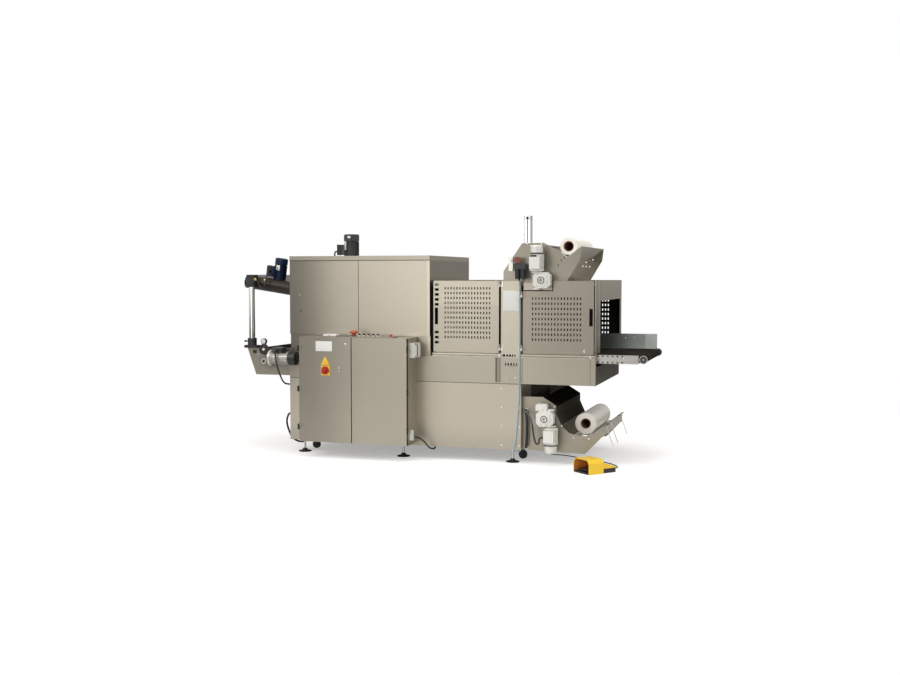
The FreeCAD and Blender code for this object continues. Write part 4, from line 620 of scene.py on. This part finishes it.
# pedal cover: glossy yellow outside, painted shade inside as an orange-brown
pedalYellow = moulding("pedalYellow", (0.88, 0.57, 0.010), 0.30, 0.00005, coat=0.3, dust=0.0)
pedalInside = {
    "middle": (732, -215, 0),  # machine millimetres
    "turn": 49.0,  # degrees
    "halfWidth": 0.0940,  # metres, like the sizes below
    "top": 0.1102,
    "chamfer": 0.179,  # largest height plus way to the side
    "back": -0.1349,
    "mouth": 0.0060,
    # painted shade of the yellow on the cover's inside
    "colour": (0.78, 0.30, 0.040),
}
pedalTurn = math.radians(pedalInside["turn"])
pedalX, pedalY = place(pedalInside["middle"])[:2]
across = (pedalYellow.y - pedalY) * math.cos(pedalTurn) - (pedalYellow.x - pedalX) * math.sin(pedalTurn)
ahead = (pedalYellow.x - pedalX) * math.cos(pedalTurn) + (pedalYellow.y - pedalY) * math.sin(pedalTurn)
halfWidth, chamfer = pedalInside["halfWidth"], pedalInside["chamfer"]
inPedal = across.above(-halfWidth) * across.below(halfWidth) * pedalYellow.z.below(pedalInside["top"])
inPedal = inPedal * (across + pedalYellow.z).below(chamfer) * (pedalYellow.z - across).below(chamfer)
inPedal = inPedal * ahead.above(pedalInside["back"]) * ahead.below(pedalInside["mouth"])
pedalYellow.patch(inPedal, pedalInside["colour"], 0.5)
dress(pedalYellow.done(), "pedal_hood")

# film rolls: wound edges as fine rings, brown card core
filmWhite = moulding("filmWhite", (0.96, 0.93, 0.85), 0.30)
for rollX, rollZ, card in ((449, 1781, (0.36, 0.22, 0.17)), (572.5, 317, (0.30, 0.20, 0.14))):
    nearRoll = filmWhite.zone((rollX - 120, rollX + 120), None, (rollZ - 120, rollZ + 120))
    rollWay = filmWhite.around(x=rollX, z=rollZ)
    ends = nearRoll * rollWay.above(44.0) * rollWay.below(87.0)
    filmWhite.shade(ends * ((rollWay * 2.1).wave() * 0.5 + 0.5), 0.93)
    filmWhite.patch(nearRoll * rollWay.below(44.0), card, 0.7)
dress(filmWhite.done(), "upper_film_roll", "lower_film_roll")

# lower cover: smooth black above, grey ribbed tray below
coverBlack = moulding("coverBlack", (0.010, 0.009, 0.008), 0.34, 0.00003, dust=0.0)
coverBlack.patch(coverBlack.zone(z=(200, 470)), (0.060, 0.054, 0.045), 0.5, 0.0)
coverBlack.shader.inputs["Specular IOR Level"].default_value = 0.0
coverBlack.bump((coverBlack.y * 420.0).wave() * coverBlack.zone(z=(200, 470)), 0.002, 0.8)
dress(coverBlack.done(), "lower_film_cover")
print("finishes made")

# small parts that the solids leave out
boltSteel = plainMetal("boltSteel", (0.78, 0.77, 0.73), 0.25).done()
boltDark = plainMetal("boltDark", (0.06, 0.06, 0.055), 0.35, metallic=0.8).done()
plainPaper = moulding("plainPaper", paperWhite, 0.42).done()
plainAlu = plainMetal("plainAlu", (0.70, 0.70, 0.66), 0.32, metallic=0.7).done()
signYellow = moulding("signYellow", (0.80, 0.50, 0.03), 0.4).done()
blackPart = moulding("blackPart", black, 0.36).done()
stopRed = moulding("stopRed", (0.42, 0.080, 0.030), 0.30, coat=0.2).done()
brass = plainMetal("brass", (0.50, 0.38, 0.16), 0.30).done()
channelSteel = brushedSteel("channelSteel", 0.60, (0.012, 1, 1), roughness=0.24).done()
plugSteel = brushedSteel("plugSteel", 0.40).done()


def domed(radius, height):
    # a low round head: straight rim, then a quarter of an ellipse to the crown
    a = np.linspace(0, math.pi / 2, 5)
    rim = height * 0.35
    return [(radius, -0.4)] + [(radius * math.cos(k) + 0.02, rim + (height - rim) * math.sin(k)) for k in a]


def hexed(radius, height):
    # a hexagon head with a chamfered top, turned in six steps
    return [(radius, -0.4), (radius, height * 0.8), (radius * 0.86, height), (0.02, height)]


front = (0, -1, 0)
fixings = {
    "baseBolts": ([(x, 0, z) for x in (-84, 68) for z in (141, 297, 455, 612)], domed(8, 4), boltSteel),
    "bedBolts": ([(-43, 0, 704), (34, 0, 704)], domed(7, 4), boltSteel),
    "upperBolts": ([(118, 50, 1801), (145, 50, 1780), (234, 50, 1797)], domed(8, 5), boltSteel),
    "upperDarkBolts": ([(424, 50, 1691), (400, 50, 1668), (374, 50, 1628)], domed(6, 4), boltDark),
    "lowerBolts": ([(509, 50, 221), (636, 50, 218), (349, 50, 468), (409, 50, 316)], domed(8, 5), boltSteel),
    "railBolts": ([(905, 58, 873), (950, 58, 869), (928, 58, 856)], hexed(7, 5), boltSteel),
    "outfeedBolts": ([(-2315, 0, 845), (-2330, 0, 800), (-2290, 0, 780), (-2270, 0, 884), (-2120, 0, 884)],
                     hexed(8, 6), boltSteel),
}
for name, (places, profile, finish) in fixings.items():
    turned(name, profile, places, front, "frame", finish)
print("fixings made")


def softTriangle(width, height, corner):
    # outline of a triangle with rounded corners, drawn in by the amount that is asked for
    def ring(drawnIn):
        apex = math.atan2(height, width / 2)
        points = []
        for cx, cz, start, end in (
                (width / 2 - corner / math.tan(apex / 2), corner, -math.pi / 2, math.pi / 2 - apex),
                (0.0, height - corner / math.cos(apex), math.pi / 2 - apex, math.pi / 2 + apex),
                (-width / 2 + corner / math.tan(apex / 2), corner, math.pi / 2 + apex, 3 * math.pi / 2)):
            a = np.linspace(start, end, 5)
            reach = corner - drawnIn
            points.append(np.c_[cx + reach * np.cos(a), cz - height / 2 + reach * np.sin(a)])
        return np.concatenate(points)
    return ring


plates = {
    # blank plates: place, size, corner, facing, body, slot, finish
    "columnPlate": ((-9, 0, 1338), (130, 166, 1.0), 3, "-y", "frame", "socket_white", plainPaper),
    "cabinetPlate": ((-1568, -250, 949), (150, 84, 1.2), 3, "-y", "left_cabinet_door", "socket_white", plainPaper),
    "fanPlate": ((-1622, 431.5, 1887), (30, 18, 2.5), 2, "-y", "frame", "motor_grey", plainAlu),
    "upperVent": ((202, -101, 1701), (52, 16, 1.5), 2, "-y", "frame", "black_plastic", blackPart),
    "leftSillBlock": ((-103, 0, 884), (16, 24, 5), 2, "-y", "frame", "zinc", hingeWhite),
    "rightSillBlock": ((654, 0, 886), (14, 20, 5), 2, "-y", "frame", "zinc", hingeWhite),
}
for name, (spot, size, corner, facing, body, slot, finish) in plates.items():
    moulded(name, spot, size, corner, 0.5, facing, body, finish)

# stop mushroom and the two displays, fitted over the console's solids
stop = [(19, -2), (19, 14), (33, 17), (35, 23), (34, 31), (28, 38), (16, 43), (0.02, 44)]
turned("stopCap", stop, (-1335, -152.5, 1041), (0, 0, 1), "frame", stopRed, around=24)
moulded("displays", [(-1572, -152.5, 1036), (-1508, -152.5, 1036)], (54, 84, 11), 4, 2.0, "+z", "frame",
        plainPaper)

# black hose with bright ends, beside the lower gear motor: a smooth line through the route's points,
# with a ring square to it at each step
hose = {"route": [(114, 50, 436), (115, 27, 430), (121, 18, 396), (126, 16, 320), (126, 16, 220),
                  (122, 18, 160), (118, 27, 132), (118, 50, 126)], "radius": 11.0, "steps": 8}


def bentTube(name, sizes, body, finish, around=12):
    route = np.array(sizes["route"], float)
    padded = np.vstack([2 * route[0] - route[1], route, 2 * route[-1] - route[-2]])
    spread = np.linspace(0, len(route) - 1, sizes["steps"] * (len(route) - 1) + 1)
    first = np.minimum(spread.astype(int), len(route) - 2)
    part = (spread - first)[:, None]
    a, b, c, d = padded[first], padded[first + 1], padded[first + 2], padded[first + 3]
    bend = (2 * a - 5 * b + 4 * c - d) * part**2 + (3 * b - a - 3 * c + d) * part**3
    line = 0.5 * (2 * b + (c - a) * part + bend)
    ahead = np.gradient(line, axis=0)
    ahead = ahead / np.linalg.norm(ahead, axis=1, keepdims=True)
    side = np.cross(ahead, (1.0, 0.0, 0.0))
    side = side / np.linalg.norm(side, axis=1, keepdims=True)
    other = np.cross(ahead, side)
    angle = np.linspace(0, 2 * math.pi, around, endpoint=False)[:, None]
    points = line[:, None] + sizes["radius"] * (np.cos(angle) * side[:, None] + np.sin(angle) * other[:, None])
    return addPiece(name, place(points.reshape(-1, 3)), ringFaces(1, len(line), around), body, finish)


bentTube("unwinderHose", hose, "frame", blackPart)
hoseEnd = [(15, 0), (15, 5), (13, 6), (13, 14), (0.02, 14)]
turned("hoseEnds", hoseEnd, [hose["route"][0], hose["route"][-1]], front, "frame", boltSteel)

# painted shade of the infeed rail's punched holes, as shallow dark inlays
punches = [(x, 57.9, z) for x in np.arange(705.0, 920.0, 39.0) for z in (894.0, 844.0)]
turned("railHoleShades", [(6.6, -0.3), (6.6, 0.2), (0.02, 0.25)], punches, front, "frame",
       blackPart)
turned("guideBolts", domed(7, 4), [(770, 1060, 985), (850, 1060, 988)], front, "frame", boltSteel)
turned("wallStuds", domed(12, 7), [(80, y, 641) for y in (380, 450, 520, 610, 700)], (1, 0, 0), "frame",
       boltSteel)

# dark sheets of painted shade inside the rear guard, so that its holes don't show the light behind
for name, middle, width in (("rearShadeSheet", -385, 590), ("rearShadeSheetRight", 278, 400)):
    moulded(name, (middle, 1350.9, 1180), (width, 572, 1.2), 2, 0.3, "-y", "frame", blackPart)

sign = {"width": 82.0, "height": 76.0, "corner": 5.0, "thick": 1.0}
moulded("plainTriangle", (-1557, -250, 829), (0, 0, sign["thick"]), 0, 0.3, "-y", "left_cabinet_door",
        signYellow, softTriangle(sign["width"], sign["height"], sign["corner"]))

# name plates that lean with their motors, kept blank
lean = math.radians(8.5)
tilted = ((math.cos(lean), 0, -math.sin(lean)), (math.sin(lean), 0, math.cos(lean)), (0, -1, 0))
moulded("coolingPlate", (-2150, 75.5, 1612), (34, 44, 1.5), 2, 0.5, tilted, "frame", plainAlu)
turnAway = math.radians(36)
aside = ((math.cos(turnAway), -math.sin(turnAway), 0), (0, 0, 1), (-math.sin(turnAway), -math.cos(turnAway), 0))
moulded("fanSidePlate", (-1624 - 67 * math.sin(turnAway), 500 - 67 * math.cos(turnAway), 1812), (36, 78, 1.5), 2,
        0.5, aside, "frame", plainAlu)

# the two bright rails of each sill, half sunk in its face
rails = {"radius": 3.6, "heights": (874.5, 893.5), "left": (-684, -96), "right": (79, 684)}
for side in ("left", "right"):
    start, end = rails[side]
    outline = [(0.02, 0), (rails["radius"], 0.8), (rails["radius"], end - start - 0.8), (0.02, end - start)]
    turned(side + "SillRails", outline, [(start, -0.5, z) for z in rails["heights"]], (1, 0, 0), "frame",
           channelSteel, around=10)

# small lock on the right guard door and on the left cabinet door
lockHead = [(10, -0.4), (10, 3), (8.5, 4), (6, 4), (5.5, 3), (0.02, 3)]
turned("guardLock", lockHead, (603, 0, 933), front, "right_guard_door", boltSteel, around=16)
turned("cabinetLock", lockHead, (-1371, -250, 968), front, "left_cabinet_door", boltSteel, around=16)

# blanking plug of the tunnel's left panel and the small sensor stud under it
turned("tunnelPlug", [(8.3, -0.5), (8.3, 0.3), (0.02, 0.5)], (-1905, 0, 1378), front, "frame",
       plugSteel, around=20)
turned("tunnelStud", domed(7, 3), (-1897, 0, 1236), front, "frame", boltDark, around=14)

# fan grilles: raised rings on the motors' cowls
grille = {"step": 7.0, "height": 1.6}


def grilleProfile(radius, step, height):
    # rings of a square wave in height along the radius
    edges = np.arange(radius, step, -step / 2)
    heights = np.where(np.arange(len(edges)) % 2 == 0, height, 0.2)
    return [(radius, -0.4)] + [(r, h) for k, h in enumerate(heights)
                              for r in (edges[k], edges[k] - step / 2 + 0.05)] + [(0.02, 0.2)]


fanAxis = (0, 0, 1)
ductAxis = (math.sin(lean), 0, math.cos(lean))
motorFoot = np.array((-2462 + 292 * math.cos(lean) + 59 * math.sin(lean), 130,
                      1493 - 292 * math.sin(lean) + 59 * math.cos(lean)))
turned("fanGrille", grilleProfile(56.0, grille["step"], grille["height"]), (-1624, 500, 1914), fanAxis, "frame",
       motorGreen, around=28)
turned("coolingGrille", grilleProfile(44.0, grille["step"], grille["height"]),
       motorFoot + 188 * np.array(ductAxis), ductAxis, "frame", motorBlue, around=28)
turned("upperGrille", grilleProfile(36.0, grille["step"], grille["height"]), (218, -43, 1787), fanAxis, "frame",
       castGrey, around=24)
turned("outfeedGrille", grilleProfile(47.0, grille["step"], grille["height"]), (-1901, -74, 826), (1, 0, 0),
       "frame", blackPart, around=24)

# bearing on the outfeed side plate, glands on the drive's terminal box, fittings on the duct
bearing = [(17, -0.4), (17, 6), (14, 8), (11, 8), (10.5, 4), (6, 4), (5.5, 9), (0.02, 9)]
turned("outfeedBearing", bearing, (-2344, 0, 872), front, "frame", boltDark, around=20)
gland = [(11, -1), (11, 9), (8.5, 10), (8.5, 16), (6, 19), (0.02, 19)]
turned("boxGlands", gland, [(-2062, -114, 898), (-2030, -114, 898)], front, "frame",
       blackPart)
turned("ductFittings", [(13, -2), (13, 8), (9, 9), (9, 15), (0.02, 16)], [(-2262, 46, 1500), (-2322, -22, 1508)],
       front, "frame", brass, around=14)

# steel bridges that divide the two slots of the post
bridges = {"x": (-51, -27, -2, 19), "height": 22.0, "width": 7.0, "thick": 3.0}
places = [(x, 3.4, 887) for x in bridges["x"]] + [(x + 10, 3.4, 812) for x in bridges["x"]]
moulded("slotBridges", places, (bridges["width"], bridges["height"], bridges["thick"]), 1.5, 0.8, "-y", "frame",
        boltSteel)
print("small parts made")

# floor, background and lamps
stageSizes = {
    "floorHalf": 30.0,
    "floorColour": (0.80, 0.80, 0.80),
    "floorGlow": 0.35,
    "fadeStart": 2.4,  # metres from the machine's middle
    "fadeEnd": 6.5,
    "skyBright": 0.90,
    "skyDark": 0.50,
}


def makeStage(sizes):
    # a flat floor whose colour plus a little glow reads white where nothing shades it
    half = sizes["floorHalf"]
    mesh = bpy.data.meshes.new("floor")
    mesh.from_pydata([(-half, -half, 0), (half, -half, 0), (half, half, 0), (-half, half, 0)], [], [(0, 1, 2, 3)])
    floor = bpy.data.objects.new("floor", mesh)
    bpy.context.scene.collection.objects.link(floor)
    finish = Finish("paleFloor", roughness=0.9, specular=0.0)
    far = (finish.x * finish.x + finish.y * finish.y) ** 0.5
    white = far.rise(sizes["fadeStart"], sizes["fadeEnd"])
    finish.tint = finish.mix(white, sizes["floorColour"], (0.0, 0.0, 0.0))
    seen = finish.node("ShaderNodeLightPath", {}, {}, "Is Camera Ray")
    finish.put(finish.shader.inputs["Emission Color"], finish.mix(seen * (white * (1.0 - sizes["floorGlow"])
               + sizes["floorGlow"]), (0.0, 0.0, 0.0), (1.0, 1.0, 1.0)))
    finish.shader.inputs["Emission Strength"].default_value = 1.0
    dress(finish.done(), floor)


def makeSky(sizes):
    # white to the camera; as light it is brightest from the front left and darker from the right
    world = bpy.data.worlds.new("studio")
    bpy.context.scene.world = world
    world.use_nodes = True
    tree = world.node_tree
    tree.nodes.clear()
    out = tree.nodes.new("ShaderNodeOutputWorld")
    way = tree.nodes.new("ShaderNodeTexCoord")
    lean = tree.nodes.new("ShaderNodeVectorMath")
    lean.operation = "DOT_PRODUCT"
    lean.inputs[1].default_value = (-0.62, -0.62, 0.48)
    ramp = tree.nodes.new("ShaderNodeMapRange")
    ramp.inputs["From Min"].default_value = -1.0
    ramp.inputs["From Max"].default_value = 1.0
    ramp.inputs["To Min"].default_value = sizes["skyDark"]
    ramp.inputs["To Max"].default_value = sizes["skyBright"]
    light = tree.nodes.new("ShaderNodeBackground")
    light.inputs["Color"].default_value = (1.0, 0.985, 0.96, 1.0)
    white = tree.nodes.new("ShaderNodeBackground")
    white.inputs["Color"].default_value = (1.0, 1.0, 1.0, 1.0)
    white.inputs["Strength"].default_value = 1.0
    path = tree.nodes.new("ShaderNodeLightPath")
    mixed = tree.nodes.new("ShaderNodeMixShader")
    tree.links.new(way.outputs["Generated"], lean.inputs[0])
    tree.links.new(lean.outputs["Value"], ramp.inputs["Value"])
    tree.links.new(ramp.outputs["Result"], light.inputs["Strength"])
    tree.links.new(path.outputs["Is Camera Ray"], mixed.inputs[0])
    tree.links.new(light.outputs[0], mixed.inputs[1])
    tree.links.new(white.outputs[0], mixed.inputs[2])
    tree.links.new(mixed.outputs[0], out.inputs[0])


def addLamp(name, spot, aim, size, watts, colour=(1.0, 0.98, 0.95)):
    data = bpy.data.lights.new(name, "AREA")
    data.shape = "RECTANGLE"
    data.size, data.size_y = size
    data.energy = watts
    data.color = colour
    lamp = bpy.data.objects.new(name, data)
    lamp.location = spot
    way = np.array(aim, float) - np.array(spot, float)
    lamp.rotation_euler = (math.atan2(math.hypot(way[0], way[1]), -way[2]), 0,
                           math.atan2(way[1], way[0]) - math.pi / 2)
    lamp.visible_camera = False
    bpy.context.scene.collection.objects.link(lamp)


makeStage(stageSizes)
makeSky(stageSizes)
addLamp("keyLamp", (-5.0, -6.5, 6.0), (-0.5, 0.0, 0.8), (4.0, 3.0), 190.0)
addLamp("frontLamp", (-1.5, -6.5, 1.6), (0.2, 0.0, 1.2), (1.8, 2.6), 30.0)
addLamp("topLamp", (0.5, -0.5, 6.5), (0.0, 0.0, 0.0), (5.0, 4.0), 160.0)
addLamp("rightLamp", (6.0, -1.5, 4.0), (0.8, 0.3, 1.0), (2.5, 2.5), 60.0)

settings = bpy.context.scene.view_settings
settings.view_transform = "Standard"

print("stage made")
